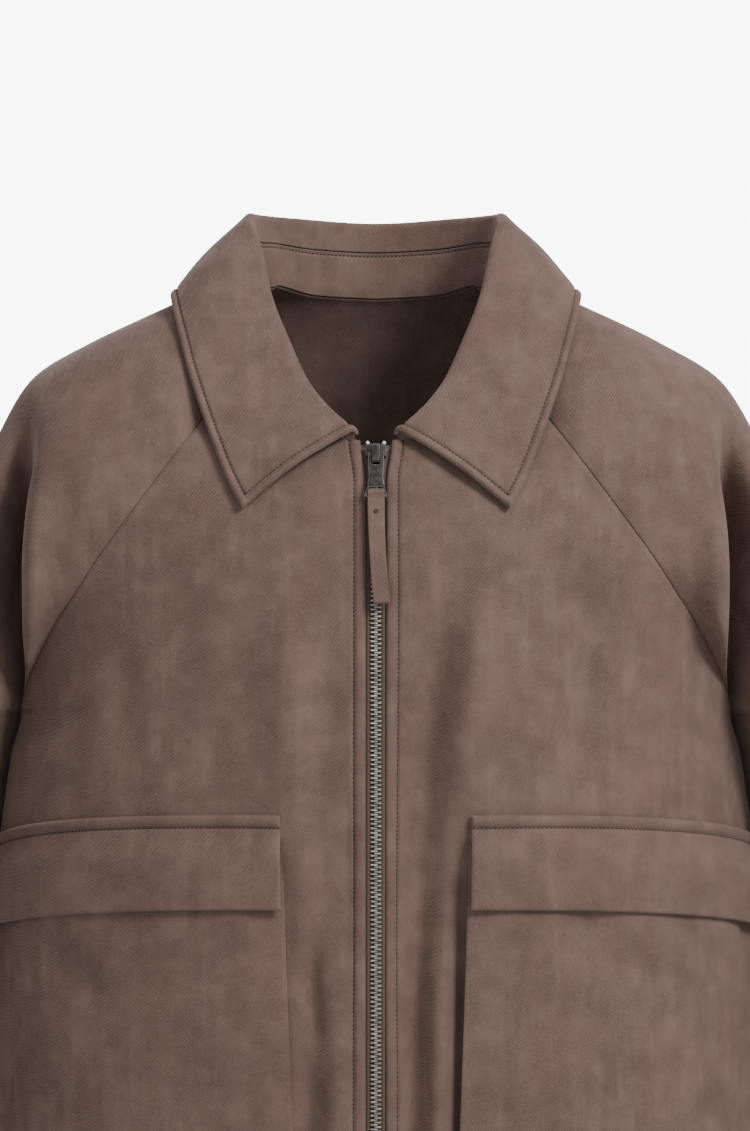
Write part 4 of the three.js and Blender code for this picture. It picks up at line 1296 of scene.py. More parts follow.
@dataclass(frozen=True)
class Thread(Finish):
    """Dark brown sewing thread, twisted."""

    name: str = "sewing_thread"
    tone: Triple = (0.060, 0.032, 0.026)
    deep: Triple = (0.034, 0.018, 0.015)

    def fixed(self) -> dict[str, Any]:
        """A dull thread with a little fuzz."""
        return {"Specular IOR Level": 0.25, "Sheen Weight": 0.2}

    def surface(self, tree: bpy.types.NodeTree) -> Surface:
        """The twist of the thread.

        Args:
            tree: The nodes.

        Returns:
            Colour, roughness and height.
        """
        twist = noise(tree, placed(tree, 0.6, (1.0, 1.0, 0.5)), 1800.0, 1.0)
        colour = blended(tree, twist.step(0.35, 0.65), self.deep, self.tone)
        return Surface(colour, twist * 0.2 + 0.6, twist)


@dataclass(frozen=True)
class TapeCloth(Finish):
    """The zip's woven tape, brown, with fine ribs down its length."""

    name: str = "woven_tape"
    tone: Triple = (0.20, 0.135, 0.11)
    deep: Triple = (0.08, 0.05, 0.042)
    bump: float = 0.6
    bump_depth: float = 0.0003
    warp: float = 0.0011
    weft: float = 0.0012

    def fixed(self) -> dict[str, Any]:
        """A dull tape with a little fuzz."""
        return {"Specular IOR Level": 0.2, "Sheen Weight": 0.15}

    def surface(self, tree: bpy.types.NodeTree) -> Surface:
        """The weave, with some fuzz over it.

        Args:
            tree: The nodes.

        Returns:
            Colour, roughness and height.
        """
        across, _, down = parts(tree, placed(tree))
        weave = (across * (math.tau / self.warp)).sine() * (down * (math.tau / self.weft)).sine()
        fuzz = noise(tree, placed(tree), 1400.0)
        colour = blended(tree, (weave * 0.5 + 0.5) * 0.7 + fuzz * 0.3, self.deep, self.tone)
        return Surface(colour, fuzz * 0.2 + 0.75, weave)


@dataclass(frozen=True)
class Metal(Finish):
    """Cast and plated metal, with faint clouding and fine scratches."""

    name: str = "nickel_plate"
    tone: Triple = (0.92, 0.89, 0.84)
    deep: Triple = (0.80, 0.77, 0.72)
    bump: float = 0.12
    bump_depth: float = 0.0001
    rough: float = 0.42
    metallic: float = 1.0

    def fixed(self) -> dict[str, Any]:
        """How metallic it is."""
        return {"Metallic": self.metallic}

    def surface(self, tree: bpy.types.NodeTree) -> Surface:
        """Clouds in the plating, and scratches along it.

        Args:
            tree: The nodes.

        Returns:
            Colour, roughness and height.
        """
        cloud = noise(tree, placed(tree), 320.0, 3.0)
        scratch = noise(tree, placed(tree, 0.0, (2600.0, 2600.0, 300.0)), 1.0)
        colour = blended(tree, cloud.step(0.35, 0.7), self.deep, self.tone)
        return Surface(colour, scratch * 0.16 + cloud * 0.1 + self.rough, scratch)


SUEDE = Suede()
THREAD = Thread()
TAPE = TapeCloth()
NICKEL = Metal(metallic=0.35)
# The teeth: a darker copy of the nickel plate. Its darkness is painted shade of the chain between the
# fronts, and its clouding is random tone.
TOOTH = Metal("nickel_painted_shade", (0.50, 0.48, 0.44), (0.26, 0.24, 0.22))
GUNMETAL = Metal("gunmetal_plate", (0.070, 0.068, 0.063), (0.038, 0.037, 0.035))


@dataclass
class Shell:
    """The body and sleeves: two fronts, the back and two raglan sleeves, sewn at their seams."""

    body: BodyForm
    sleeve: SleeveForm
    wall: float = 1.8
    front_edge: float = 6.4
    front_flare: float = 3.4
    flare_rows: float = 0.16
    front_stitch: float = 7.4
    front_roll: float = 1.1
    front_groove: float = 0.95
    front_pucker: float = 0.10
    hem_stitch: float = 9.0
    hem_roll: float = 0.7
    crisp: float = 1.3
    seam_ridge: float = 0.45
    join_width: float = 7.0
    armhole_rows: int = 60
    body_rows: int = 70
    sleeve_more_rows: int = 14
    front_columns: int = 92
    back_columns: int = 130
    sleeve_columns: int = 180
    panel_run: float = 180.0
    sleeve_run: float = 30.0
    cuff_run: float = 80.0
    arm_middle: Triple = (245.0, 0.0, -240.0)
    wave_height: float = 0.8

    def rows(self) -> np.ndarray:
        """Rows of a panel, 0 at the neck and 2 at the hem, close together at its ends.

        Returns:
            The rows, as a column.
        """
        fall = self.body.hem_side_z - self.body.armpit_z
        top = np.array(EDGE_STEPS) / self.panel_run
        arm = np.linspace(top[-1], 1.0, self.armhole_rows)[1:]
        hem = 2.0 + np.array(around(self.hem_stitch))[::-1] / fall
        low = np.linspace(1.0, hem[0], self.body_rows)[1:-1]
        return np.concatenate([top, arm, low, hem])[:, None]

    def sewn(self, cloth: Cloth, rows: Stitching, *seams: Edge, stops: Sequence[Edge] = ()) -> Cloth:
        """Makes the seam edges crisp, and rolls and sews the lower edge.

        Args:
            cloth: The piece.
            rows: The stitch rows to add to.
            seams: Its seam edges.
            stops: Edges that end the lower edge's stitches.

        Returns:
            The same piece.
        """
        for edge in (*seams, Edge.TOP):
            cloth.round[edge] = self.crisp
        cloth.roll(Edge.BOTTOM, self.hem_stitch, self.hem_roll)
        cloth.topstitch(Edge.BOTTOM, self.hem_stitch, self.hem_roll, rows, stops)
        return cloth

    def front(self, side: Side, rows: Stitching) -> Cloth:
        """A front, with its rolled zip edge and stitch row.

        Args:
            side: The side.
            rows: The stitch rows to add to.

        Returns:
            The front.
        """
        down = self.rows()
        edge = self.front_edge + self.front_flare * (1.0 - smooth(down, 0.0, self.flare_rows))

        def make(share: np.ndarray) -> np.ndarray:
            """Points by share of the way from the zip to the outer edge."""
            return self.body.panel(Face.FRONT, side, down, share, edge)

        share = respace(make, around(self.front_stitch), EDGE_STEPS, self.front_columns)
        cloth = Cloth(f"front_{side.word}_suede", make(share), self.wall)
        cloth.roll(Edge.FIRST, self.front_stitch, self.front_roll)
        cloth.topstitch(Edge.FIRST, self.front_stitch, self.front_groove, rows)
        cloth.pucker(Edge.FIRST, self.front_stitch, self.front_pucker)
        self.sewn(cloth, rows, Edge.LAST, stops=[Edge.FIRST])
        cloth.relief += self.seam_ridge * bell(cloth.away[Edge.LAST] - 3.0, 2.4)
        return cloth

    def back(self, rows: Stitching) -> Cloth:
        """The back, one piece from side seam to side seam.

        Args:
            rows: The stitch rows to add to.

        Returns:
            The back.
        """
        down = self.rows()

        def make(share: np.ndarray) -> np.ndarray:
            """Points by share of the way from the left seam to the right one."""
            share = np.broadcast_to(share, (len(down), share.shape[1]))
            half = np.abs(2.0 * share - 1.0)
            left, right = (self.body.panel(Face.BACK, side, down, half, 0.0) for side in Side)
            return np.where((share < 0.5)[..., None], left, right)

        share = respace(make, EDGE_STEPS, EDGE_STEPS, self.back_columns)
        cloth = Cloth("back_suede", make(share), self.wall)
        return self.sewn(cloth, rows, Edge.FIRST, Edge.LAST)

    def arm(self, side: Side, rows: Stitching) -> tuple[Cloth, int]:
        """A sleeve, with its seam under the arm and creases at the elbow, and its first closed row.

        Args:
            side: The side.
            rows: The stitch rows to add to.

        Returns:
            The sleeve, and the number of its first closed row.
        """
        top = np.array(EDGE_STEPS) / self.sleeve_run
        cuff = len(SLEEVE_SECTIONS) - 1 - np.array(around(self.hem_stitch))[::-1] / self.cuff_run
        more = self.sleeve_more_rows
        arm = np.linspace(top[-1], ARMPIT_STATION, self.armhole_rows + more)[1:]
        low = np.linspace(ARMPIT_STATION, cuff[0], self.body_rows + more)[1:-1]
        down = np.concatenate([top, arm, low, cuff])[:, None]

        def make(share: np.ndarray) -> np.ndarray:
            """Points by share of the way from the front seam to the back one."""
            return self.sleeve.point(side, down, share)

        share = respace(make, EDGE_STEPS, EDGE_STEPS, self.sleeve_columns)
        x, y, z = self.arm_middle
        cloth = Cloth(f"sleeve_{side.word}_suede", make(share), self.wall, (side.value * x, y, z))
        ring = int(np.searchsorted(down[:, 0], ARMPIT_STATION))
        calm = smooth(down, 1.0, 4.0)
        for edge in (Edge.FIRST, Edge.LAST):
            calm = calm * smooth(cloth.away[edge], 2.0, 30.0)
        waves = self.wave_height * uneven(cloth.u, cloth.v, 2.2 * side.value, self.body.wave)
        bends = creased(self.elbow(side), cloth.u, -cloth.v)
        cloth.push((waves - bends) * calm)
        cloth.close_ring(ring)
        return self.sewn(cloth, rows, Edge.FIRST, Edge.LAST), ring

    def elbow(self, side: Side) -> list[Crease]:
        """Creases of a sleeve, by distance from its middle line and down from the neck."""
        turn = side.value
        return [crease._replace(x0=turn * crease.x0, x1=turn * crease.x1) for crease in ELBOW_CREASES]

    def join(self, arm: Cloth, edge: Edge, panel: Cloth, panel_edge: Edge, rows: int) -> None:
        """Gives a sleeve's seam edge the panel's way out, so that the two walls meet.

        Args:
            arm: The sleeve.
            edge: Its seam edge.
            panel: The front or back that it is sewn to.
            panel_edge: That piece's seam edge.
            rows: How many of the sleeve's rows lie above the armpit.
        """
        at = {Edge.FIRST: 0, Edge.LAST: -1}
        heights, normals = panel.points[::-1, at[panel_edge], 2], panel.normals[::-1, at[panel_edge]]
        shared = read_along(arm.points[:rows, at[edge], 2], heights, normals)[:, None]
        own = smooth(arm.away[edge][:rows], 0.0, self.join_width)[..., None]
        arm.normals[:rows] = unit(mix(shared, arm.normals[:rows], own))

    def build(self, rows: Stitching) -> None:
        """Args:
            rows: The stitch rows to add to.
        """
        back = self.back(rows)
        back.declare(back.make(SUEDE, "back"), (0.66, 0.70), "hung", "sleeve_left", "sleeve_right")
        for side in Side:
            front = self.front(side, rows)
            front.declare(front.make(SUEDE, f"front_{side.word}"), (0.36, 0.66), "hung", "zip_chain")
            arm, ring = self.arm(side, rows)
            self.join(arm, Edge.FIRST, front, Edge.LAST, ring)
            self.join(arm, Edge.LAST, back, Edge.FIRST if side is Side.LEFT else Edge.LAST, ring)
            arm.declare(arm.make(SUEDE, f"sleeve_{side.word}"), (0.56, 0.86), "hung", "back")


class Seat(NamedTuple):
    """The collar's section at an angle: where it sits, the ways up and out, its fold and its edge."""

    foot: np.ndarray
    up: np.ndarray
    out: np.ndarray
    edge: np.ndarray
    radius: float
    leg: float


@dataclass
class Collar:
    """The collar: a stand inside the neck and a leaf that folds over it."""

    body: BodyForm
    sleeve: SleeveForm
    wall: float = 2.6
    start: float = 5.0
    stand_share: float = 0.65
    fold_radius: float = 4.8
    fold_least: float = 3.2
    fold_share: float = 0.3
    seat: float = 0.9
    seam: float = 0.05
    bow: float = 4.0
    neck_centre_y: float = -10.0
    leaf_stitch: float = 5.8
    leaf_roll: float = 1.0
    stand_stitch: float = 2.6
    stand_groove: float = 0.6
    stand_start: float = 10.0
    overlap: float = 1.6
    lean: float = 0.7
    lean_height: float = 4.0
    crisp: float = 0.35
    columns: int = 74
    leaf_rows: int = 60
    stand_rows: int = 14
    mm_a_degree: float = 1.25
    wave: float = 15.0
    wave_height: float = 0.7

    def __post_init__(self) -> None:
        """Reads the collar's table as curves, level across at the centre back."""
        names = CollarLine._fields[1:]
        self.lines = {name: column(COLLAR_LINES, "angle", name) for name in names}
        for name, line in self.lines.items():
            line.tangents[-1] *= name.endswith("_x")

    def angles(self, start: float) -> np.ndarray:
        """Angles of the left half, from the front edge to the centre back."""
        first = start + np.array(around(self.leaf_stitch)) / self.mm_a_degree
        return np.concatenate([first, np.linspace(first[-1], 180.0, self.columns)[1:]])

    def section(self, side: Side, angle: float) -> Seat:
        """The seat on the neckline, the way up, the way out and the fold at an angle.

        Args:
            side: The side.
            angle: The angle, in degrees.

        Returns:
            The section.
        """
        neck = self.body.neck_point(side, angle, self.sleeve)
        at = {name: float(curve(angle)) for name, curve in self.lines.items()}
        fold, edge = (np.array([at[f"{part}_{axis}"] for axis in "xyz"]) for part in ("fold", "edge"))
        fold[0] *= side.value
        edge[0] *= side.value
        up = unit(fold - neck)
        out = unit(np.array([neck[0], neck[1] - self.neck_centre_y, 0.0]))
        out = unit(out - up * np.dot(out, up))
        foot = neck - out * self.wall + up * self.seat
        height = float(np.dot(fold - foot, up))
        radius = float(np.clip(height * self.fold_share, self.fold_least, self.fold_radius))
        return Seat(foot, up, out, edge, radius, height - radius)

    def leaf_line(self, side: Side, angle: float) -> np.ndarray:
        """The leaf's visible side at an angle, closely spaced, from its edge up over the fold and in.

        Args:
            side: The side.
            angle: The angle, in degrees.

        Returns:
            The points.
        """
        foot, up, _, edge, radius, leg = self.section(side, angle)
        reach_out = edge - foot - up * leg
        out = unit(reach_out - up * np.dot(reach_out, up))
        centre = foot + up * leg + out * radius
        turn = math.pi * 0.8
        for _ in range(4):
            start = centre - out * radius * math.cos(turn) + up * radius * math.sin(turn)
            chord = edge - start
            reach = float(np.linalg.norm(chord))
            rise = math.atan2(4.0 * self.bow, reach)
            turn = math.atan2(float(np.dot(chord, out)), float(np.dot(chord, up))) - rise
            turn = float(np.clip(turn, 1.2, math.pi))
        way = out * math.sin(turn) + up * math.cos(turn)
        control = start + way * reach * 0.5
        t = np.linspace(0.0, 1.0, 60)[:, None]
        outer = (1 - t) ** 2 * start + 2 * t * (1 - t) * control + t * t * edge
        bend = np.linspace(0.0, turn, 24)[:-1, None]
        fold = centre - out * radius * np.cos(bend) + up * radius * np.sin(bend)
        low = leg * self.stand_share + self.seam
        inner = foot + up * np.linspace(low, leg, 8)[:-1, None]
        return np.concatenate([inner, fold, outer])[::-1]

    def stand_line(self, side: Side, angle: float) -> np.ndarray:
        """The stand's visible side at an angle, from its upper seam to the neckline.

        Args:
            side: The side.
            angle: The angle, in degrees.

        Returns:
            The points.
        """
        at = self.section(side, angle)
        height = np.linspace(at.leg * self.stand_share, -self.overlap, 16)[:, None]
        meets = 1.0 - smooth(height, -self.overlap, self.lean_height)
        return at.foot + at.up * height + at.out * self.lean * meets

    def grid(
        self, line: Callable[[Side, float], np.ndarray], start: float, first: Sequence[float], middle: int
    ) -> np.ndarray:
        """A grid of points, left to right round the back.

        Args:
            line: Gives a side's points at an angle.
            start: The front edge's angle.
            first: Rising distances from each line's first end.
            middle: How many even steps follow.

        Returns:
            The points, in rows from the lines' first ends to their last.
        """
        halves = []
        for side in Side:
            columns = []
            for angle in self.angles(start):
                points = line(side, float(angle))
                run = lengths(points[None], 1)[0]
                columns.append(read_along(spaced(run[-1], first, EDGE_STEPS[:5], middle)[0], run, points))
            halves.append(columns)
        return np.stack(halves[0] + halves[1][::-1][1:], axis=1)

    def leaf(self, rows: Stitching) -> Cloth:
        """The leaf, rolled and sewn along its three free edges.

        Args:
            rows: The stitch rows to add to.

        Returns:
            The leaf.
        """
        points = self.grid(self.leaf_line, self.start, around(self.leaf_stitch), self.leaf_rows)
        leaf = Cloth("collar_leaf_suede", points, self.wall, (0.0, -FAR, -0.7 * FAR))
        calm = smooth(leaf.away[Edge.TOP], 6.0, 25.0) * smooth(leaf.away[Edge.BOTTOM], 20.0, 40.0)
        leaf.push(self.wave_height * uneven(leaf.u, leaf.v, 5.0, self.wave) * calm)
        sides = [Edge.FIRST, Edge.LAST]
        for edge, stops in ((Edge.TOP, sides), (Edge.FIRST, [Edge.TOP]), (Edge.LAST, [Edge.TOP])):
            leaf.roll(edge, self.leaf_stitch, self.leaf_roll)
            leaf.topstitch(edge, self.leaf_stitch, self.leaf_roll, rows, stops)
        leaf.round[Edge.BOTTOM] = self.crisp
        return leaf

    def stand(self, rows: Stitching) -> Cloth:
        """The stand, sewn along its upper seam.

        Args:
            rows: The stitch rows to add to.

        Returns:
            The stand.
        """
        points = self.grid(self.stand_line, self.stand_start, around(self.stand_stitch), self.stand_rows)
        stand = Cloth("collar_stand_suede", points, self.wall, (0.0, FAR, 0.0))
        stand.round = dict.fromkeys(Edge, self.crisp)
        stand.topstitch(Edge.TOP, self.stand_stitch, self.stand_groove, rows)
        return stand

    def build(self, rows: Stitching) -> None:
        """Args:
            rows: The stitch rows to add to.
        """
        leaf = self.leaf(rows)
        leaf.declare(leaf.make(SUEDE, "collar_leaf"), (0.62, 0.14), "folded", "collar_stand")
        stand = self.stand(rows)
        stand.declare(stand.make(SUEDE, "collar_stand"), (0.50, 0.06), "hung", "back")


class Patch(NamedTuple):
    """Where a piece lies on a front: its inner and outer edges above and below, and its height."""

    inner_x: float
    inner_low_x: float
    outer_x: float
    outer_low_x: float
    top_z: float
    bottom_z: float
    droop: float


@dataclass
class Pockets:
    """A patch pocket and its flap on each front."""

    body: BodyForm
    pocket_patch: Patch = Patch(57.0, 50.0, 230.0, 226.0, -336.0, -540.0, 16.0)
    flap_patch: Patch = Patch(58.5, 57.5, 241.0, 241.0, -318.0, -376.0, 20.0)
    wall: float = 1.8
    flap_wall: float = 2.8
    seat: float = 0.25
    crown: float = 3.0
    least: float = 0.2
    flap_seat: float = 0.35
    flap_stand: float = 5.6
    flap_stitch: float = 8.0
    flap_roll: float = 1.1
    flap_groove: float = 1.0
    pocket_run: float = 190.0
    flap_run: float = 58.0
    columns: int = 62
    flap_rows: int = 20

    def across(self) -> np.ndarray:
        """Shares of the way from a piece's inner edge to its outer edge."""
        near = np.array(EDGE_STEPS) / self.pocket_run
        return shares(near, near, self.columns)

    def laid(self, side: Side, patch: Patch, down: np.ndarray, across: np.ndarray) -> np.ndarray:
        """Points on the front at shares of the way down and across a patch.

        Args:
            side: The side.
            patch: The patch.
            down: Shares of the way down, as a column.
            across: Shares of the way across, as a row.

        Returns:
            The points, in millimetres.
        """
        z = mix(patch.top_z, patch.bottom_z, down) - patch.droop * across**2
        inner = self.body.turn_at(mix(patch.inner_x, patch.inner_low_x, down), z)
        outer = self.body.turn_at(mix(patch.outer_x, patch.outer_low_x, down), z)
        return self.body.point(Face.FRONT, side.value * self.body.x_at(mix(inner, outer, across), z), z)

    def raised(self, name: str, points: np.ndarray, stand: np.ndarray, wall: float) -> Cloth:
        """A piece laid on the front, moved out by its wall and its stand."""
        normals = Cloth(name, points, wall).normals
        return Cloth(name, points + normals * (wall + stand)[..., None], wall)

    def pocket(self, side: Side) -> Cloth:
        """A patch pocket, sewn on unseen at its sides and foot.

        Args:
            side: The side.

        Returns:
            The pocket.
        """
        across, down = self.across()[None, :], self.across()[:, None]
        points = self.laid(side, self.pocket_patch, down, across)
        x, z = points[..., 0], points[..., 2]
        full = np.clip(np.minimum(across, 1 - across) / 0.16, 0, 1) ** 0.6
        stand = self.seat + self.crown * full * np.clip((1 - down) / 0.12, 0, 1) ** 0.6
        creases = LEFT_POCKET_CREASES if side is Side.LEFT else RIGHT_POCKET_CREASES
        edge = smooth(across, 0.0, 0.08) * smooth(1 - across, 0.0, 0.08)
        waves = 0.7 * uneven(x, z, 0.7 * side.value + 3.0, 15.0)
        sink = (creased(creases, x, z) + waves) * edge
        stand = np.maximum(stand - np.minimum(sink, stand - self.least), self.least)
        return self.raised(f"pocket_{side.word}_suede", points, stand, self.wall)

    def flap(self, side: Side, rows: Stitching) -> Cloth:
        """A flap, with a rolled upper edge sewn down, standing off the pocket below.

        Args:
            side: The side.
            rows: The stitch rows to add to.

        Returns:
            The flap.
        """
        across = self.across()[None, :]
        top, low = (np.array(steps) / self.flap_run for steps in (around(self.flap_stitch), EDGE_STEPS))
        down = shares(top, low, self.flap_rows)[:, None]
        points = self.laid(side, self.flap_patch, down, across)
        x, z = points[..., 0], points[..., 2]
        waves = 0.5 * uneven(x, z, 1.9 * side.value, 14.0)
        sink = (creased(FLAP_CREASES, x, z) + waves) * smooth(down, 0.2, 0.6)
        stand = self.flap_seat + self.flap_stand * smooth(down, 0.1, 0.5) - sink
        cloth = self.raised(f"flap_{side.word}_suede", points, stand, self.flap_wall)
        cloth.roll(Edge.TOP, self.flap_stitch, self.flap_roll)
        cloth.topstitch(Edge.TOP, self.flap_stitch, self.flap_groove, rows)
        return cloth

    def build(self, rows: Stitching) -> None:
        """Builds both pockets and flaps.

        Args:
            rows: The stitch rows to add to.
        """
        for side in Side:
            front = f"front_{side.word}"
            pocket = self.pocket(side)
            pocket.declare(pocket.make(SUEDE, f"pocket_{side.word}"), (0.225, 0.230), "hung", front)
            flap = self.flap(side, rows)
            flap.declare(flap.make(SUEDE, f"flap_{side.word}"), (0.240, 0.070), "hung", front)


@dataclass
class Zip:
    """The zip: teeth, woven tape, slider, stops, metal pull and the folded suede strip on it."""

    body: BodyForm
    top_z: float = -107.5
    bottom_z: float = -632.0
    pitch: float = 2.8
    proud: float = 0.4
    depth: float = 2.6
    tooth_size: tuple[float, float] = (4.3, 1.3)
    tooth_centre: float = 1.15
    tooth_bevel: float = 0.2
    tape_z: tuple[float, float] = (-88.5, -636.0)
    tape_rows: int = 140
    tape_wall: float = 0.9
    tape_sink: float = 2.6
    tape_rise: float = 1.5
    tape_ridge_x: float = 4.7
    slider_z: float = -97.5
    slider_half: float = 9.5
    hinge: tuple[float, float] = (-5.1, 1.2)
    bar_z: float = -26.5
    strip_half_width: float = 5.25
    strip_length: float = 73.0
    strip_wall: float = 1.2
    loop_radius: float = 2.65
    sway: float = 3.6
    settle: float = 8.5
    eyelet_fall: float = 12.6

    def tooth(self) -> tuple[np.ndarray, list[tuple[int, ...]]]:
        """One tooth, modelled as a block, cut to a waist and bevelled: x across, y in and z down.

        Returns:
            Its points and faces.
        """
        bpy.ops.object.select_all(action="DESELECT")
        bpy.ops.mesh.primitive_cube_add(size=1.0)
        block = bpy.context.object
        block.scale = (self.tooth_size[0], self.depth, self.tooth_size[1])
        block.location = (self.tooth_centre, 0.0, 0.0)
        bpy.ops.object.transform_apply(location=True, rotation=False, scale=True)
        bpy.ops.object.mode_set(mode="EDIT")
        for x in (0.5, 1.5):
            bpy.ops.mesh.select_all(action="SELECT")
            bpy.ops.mesh.bisect(plane_co=(x, 0.0, 0.0), plane_no=(1.0, 0.0, 0.0))
        bpy.ops.object.mode_set(mode="OBJECT")
        for vertex in block.data.vertices:
            x = vertex.co.x
            vertex.co.z *= 1.0 if x < 0.0 else 0.68 if x < 1.0 else 0.9
            vertex.co.y *= 0.6 if x < 0.0 else 0.85 if x < 1.0 else 1.0
        bevel = block.modifiers.new("Bevel", "BEVEL")
        bevel.width, bevel.segments = self.tooth_bevel, 1
        bevel.limit_method, bevel.angle_limit = "ANGLE", 0.6
        bpy.ops.object.modifier_apply(modifier=bevel.name)
        return taken(block)

    def teeth(self) -> None:
        """Two rows of teeth that mesh at the middle."""
        shape, faces = self.tooth()
        points, all_faces = [], []
        count = int((self.top_z - self.bottom_z) / (self.pitch / 2.0))
        for i in range(count):
            z = self.top_z - i * self.pitch / 2.0
            here, below = (self.body.point(Face.FRONT, 0.0, z + d) for d in (0.5, -0.5))
            down = unit(below - here)
            out = np.array([0.0, down[2], -down[1]])
            centre = (here + below) / 2.0 + out * (self.proud - self.depth / 2.0)
            side = 1.0 if i % 2 else -1.0
            points.append(centre + shape @ np.stack([[side, 0.0, 0.0], -out, -down]))
            step = i * len(shape)
            all_faces += [tuple(step + v for v in (face if side > 0 else face[::-1])) for face in faces]
        piece = mesh_object("zip_teeth", np.concatenate(points), all_faces)
        piece.data.polygons.foreach_set("use_smooth", [False] * len(piece.data.polygons))
        TOOTH.dress(piece)
        stand_in(piece, JACKET, "zip_chain")
        log.info("zip_teeth: %d teeth", count)

    def tape(self, side: Side) -> None:
        """A tape: flat behind the front, standing up a little beside the teeth.

        Args:
            side: The side.
        """
        x = np.array(TAPE_STEPS)[None, :]
        z = np.linspace(*self.tape_z, self.tape_rows)[:, None]
        points = self.body.point(Face.FRONT, side.value * x, z)
        points[..., 1] += self.tape_sink - self.tape_rise * bell(x - self.tape_ridge_x, 1.6)
        cloth = Cloth(f"zip_tape_{side.word}_woven", points, self.tape_wall)
        piece = cloth.make(TAPE, f"zip_tape_{side.word}", slot="tape")
        cloth.declare(piece, (0.014, 0.57), "hung", f"front_{side.word}")

    def rounded(self, source: bpy.types.Object, width: float, finish: Metal, body: str) -> None:
        """A copy of a metal solid with its edges rounded, in place of it.

        Args:
            source: The CAD node.
            width: The bevel's width, in millimetres.
            finish: The flats' finish; the bevels are nickel.
            body: The body it rides on.
        """
        piece = bpy.data.objects.new(f"{source.name}_rounded", source.data.copy())
        bpy.context.scene.collection.objects.link(piece)
        bpy.ops.object.select_all(action="DESELECT")
        piece.select_set(True)
        bpy.context.view_layer.objects.active = piece
        bpy.ops.object.mode_set(mode="EDIT")
        bpy.ops.mesh.select_all(action="SELECT")
        bpy.ops.mesh.remove_doubles(threshold=0.00001)
        bpy.ops.mesh.dissolve_limited(angle_limit=math.radians(3.0))
        bpy.ops.object.mode_set(mode="OBJECT")
        finish.dress(piece)
        piece.data.materials.append(NICKEL.material())
        bevel = piece.modifiers.new("Bevel", "BEVEL")
        bevel.width, bevel.segments, bevel.material = width * MM, 2, 1
        bevel.limit_method, bevel.angle_limit = "ANGLE", math.radians(35.0)
        bpy.ops.object.modifier_apply(modifier=bevel.name)
        bpy.ops.object.shade_smooth_by_angle(angle=math.radians(40.0))
        stand_in(piece, body, source.name)

    def in_place(self, points: np.ndarray) -> np.ndarray:
        """Points of the pull, from the hinge's own x, y and z to the jacket's.

        Args:
            points: The points, in millimetres.

        Returns:
            The same points in the jacket.
        """
        depth = self.body.depths[Face.FRONT]
        reach = self.slider_half
        low, here, high = (float(depth(self.slider_z + d)) for d in (-reach, 0.0, reach))
        slope = -math.atan((low - high) / (2.0 * reach))
        y = points[..., 1] + self.hinge[0]
        z = points[..., 2] + self.hinge[1]
        turned_y = y * math.cos(slope) - z * math.sin(slope)
        turned_z = y * math.sin(slope) + z * math.cos(slope)
        return np.stack([points[..., 0], turned_y - here, turned_z + self.slider_z], axis=-1)

    def strip(self) -> None:
        """The strip: one length of suede folded round the pull's bar, its two halves lying together."""
        reach = self.strip_length - self.loop_radius
        along = np.concatenate([reach - np.array(EDGE_STEPS), np.linspace(reach - 5.5, 3.2, 44)])
        half = self.strip_wall + 0.1
        depth = self.settle * (along / reach) ** 1.5
        front, behind = (np.stack([depth + d, self.bar_z - along], axis=1) for d in (-half, half))
        turn = np.radians(np.linspace(212.0, -32.0, 30))
        loop = self.loop_radius * np.stack([np.cos(turn), np.sin(turn)], axis=1) + [0.0, self.bar_z]
        path = np.concatenate([front, loop, behind[::-1]])
        near = np.array(EDGE_STEPS[:6])
        x = np.concatenate([near, np.linspace(2.6, 7.9, 8), 2 * self.strip_half_width - near[::-1]])
        down = np.maximum(0.0, self.bar_z - path[:, 1])
        shift = self.sway * (down / reach) ** 2
        narrow = 1.0 - 0.03 * smooth(down, 0.0, 40.0)
        x = (x - self.strip_half_width)[None, :] * narrow[:, None] + shift[:, None]
        grid = np.stack([x, *(np.broadcast_to(path[:, k, None], x.shape) for k in (0, 1))], axis=-1)
        cloth = Cloth("pull_strip_suede", self.in_place(grid), self.strip_wall, (0.0, -FAR, 0.0))
        piece = cloth.make(SUEDE, "pull_strip", PULL)

    def eyelet(self) -> None:
        """The small eyelet pressed in the strip below the pull."""
        bpy.ops.object.select_all(action="DESELECT")
        spot = self.in_place(np.array([0.15, -1.35, self.bar_z - self.eyelet_fall]))
        bpy.ops.mesh.primitive_torus_add(
            major_radius=1.05 * MM, minor_radius=0.26 * MM, major_segments=24, minor_segments=8,
            location=tuple(spot * MM), rotation=(math.pi / 2.0 - 0.2, 0.0, 0.0),
        )
        piece = bpy.context.object
        piece.name = piece.data.name = "strip_eyelet"
        bpy.ops.object.transform_apply(location=True, rotation=True, scale=True)
        bpy.ops.object.shade_smooth()
        THREAD.dress(piece)
        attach(piece, PULL)

    def build(self, nodes: dict[str, bpy.types.Object]) -> None:
        """Builds every piece of the zip.

        Args:
            nodes: The CAD nodes by name.
        """
        self.teeth()
        for side in Side:
            self.tape(side)
            self.rounded(nodes[f"zip_stop_{side.word}"], 0.22, NICKEL, JACKET)
        self.rounded(nodes["zip_slider"], 0.65, GUNMETAL, JACKET)
        self.rounded(nodes["zip_pull"], 0.8, GUNMETAL, PULL)
        self.strip()
        self.eyelet()


class Lamp(NamedTuple):
    """A soft square lamp: its place, its size and its power."""

    name: str
    place: Triple
    size: float
    power: float


LAMPS = table(
    Lamp,
    ("key", (1.5, -1.7, 1.35), 0.8, 54.0),
    ("fill", (-1.3, -2.2, 0.6), 1.8, 3.0),
    ("top", (0.1, -1.0, 2.1), 1.5, 7.0),
    ("back", (0.4, 2.1, 1.2), 1.8, 16.0),
)


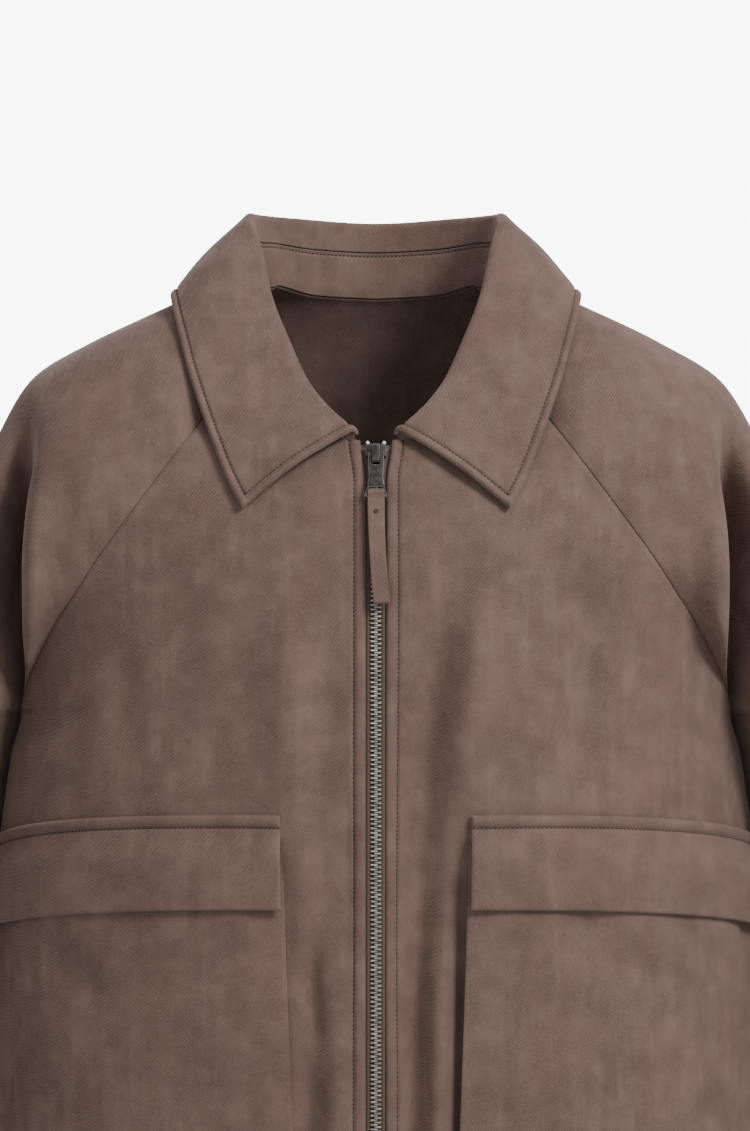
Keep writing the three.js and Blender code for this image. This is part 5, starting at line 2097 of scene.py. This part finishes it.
@dataclass
class Studio:
    """A pale floor, soft light and the camera at the photograph's angle."""

    camera_place: Triple = (-0.0006, -2.6, -0.1643)
    lens: float = 127.3
    sensor: float = 36.0
    aim: Triple = (0.0, 0.0, -0.25)
    floor_place: Triple = (0.0, -0.6, -1.15)
    floor_size: float = 4.6
    floor_tone: Triple = (0.80, 0.80, 0.80)
    white: Triple = (1.0, 1.0, 1.0)
    ambient: float = 0.36
    backdrop: float = 8.5
    gloss: float = 0.07

    def build(self) -> None:
        """Builds the camera, the light and the floor."""
        camera = self.stood("camera", bpy.data.cameras.new("camera"), self.camera_place)
        camera.data.lens = self.lens
        camera.data.sensor_width = self.sensor
        camera.rotation_euler = (math.pi / 2.0, 0.0, 0.0)
        bpy.context.scene.camera = camera
        for lamp in LAMPS:
            self.light(lamp)
        self.sky()
        bpy.ops.object.select_all(action="DESELECT")
        bpy.ops.mesh.primitive_plane_add(size=self.floor_size, location=self.floor_place)
        floor = bpy.context.object
        floor.name = "floor"
        material, _ = start_material("floor", {"Roughness": 0.9, "Base Color": opaque(self.floor_tone)})
        floor.data.materials.append(material)

    def stood(self, name: str, data: bpy.types.ID, place: Triple) -> bpy.types.Object:
        """A new object at a place.

        Args:
            name: Its name.
            data: The lamp or camera.
            place: The place, in metres.

        Returns:
            The object.
        """
        holder = bpy.data.objects.new(name, data)
        holder.location = place
        bpy.context.scene.collection.objects.link(holder)
        return holder

    def light(self, lamp: Lamp) -> None:
        """A large soft lamp that points at the chest.

        Args:
            lamp: What it is like.
        """
        data = bpy.data.lights.new(lamp.name, "AREA")
        data.size, data.energy = lamp.size, lamp.power
        holder = self.stood(lamp.name, data, lamp.place)
        holder.rotation_euler = (Vector(self.aim) - Vector(lamp.place)).to_track_quat("-Z", "Y").to_euler()

    def sky(self) -> None:
        """An even pale surround, dimmer as light than it looks."""
        world = bpy.data.worlds.new("studio")
        world.use_nodes = True
        bpy.context.scene.world = world
        tree = world.node_tree
        white = opaque(self.white)
        shed, seen = (
            add_node(tree, "ShaderNodeBackground", {}, {"Color": white, "Strength": strength}).outputs[0]
            for strength in (self.ambient, self.backdrop)
        )
        path = add_node(tree, "ShaderNodeLightPath", {}, {}).outputs
        ray = Field(tree, path["Is Camera Ray"]) + Field(tree, path["Is Glossy Ray"]) * self.gloss
        both = add_node(tree, "ShaderNodeMixShader", {}, {0: ray, 1: shed, 2: seen})
        tree.links.new(both.outputs[0], tree.nodes["World Output"].inputs[0])


def main() -> None:
    """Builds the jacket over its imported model, piece by piece."""
    logging.basicConfig(level=logging.INFO, format="%(name)s: %(message)s")
    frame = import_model()
    Studio().build()
    body = BodyForm()
    sleeve = SleeveForm(body)
    plain = BodyForm(creases=dict.fromkeys(Face, ()))
    sewn = {"body": Shell(body, sleeve), "collar": Collar(body, sleeve), "flap": Pockets(plain)}
    for name, piece in sewn.items():
        rows = Stitching(f"{name}_stitches")
        piece.build(rows)
        rows.make(THREAD)
    Zip(body).build(frame["nodes"])


if __name__ == "__main__":
    main()
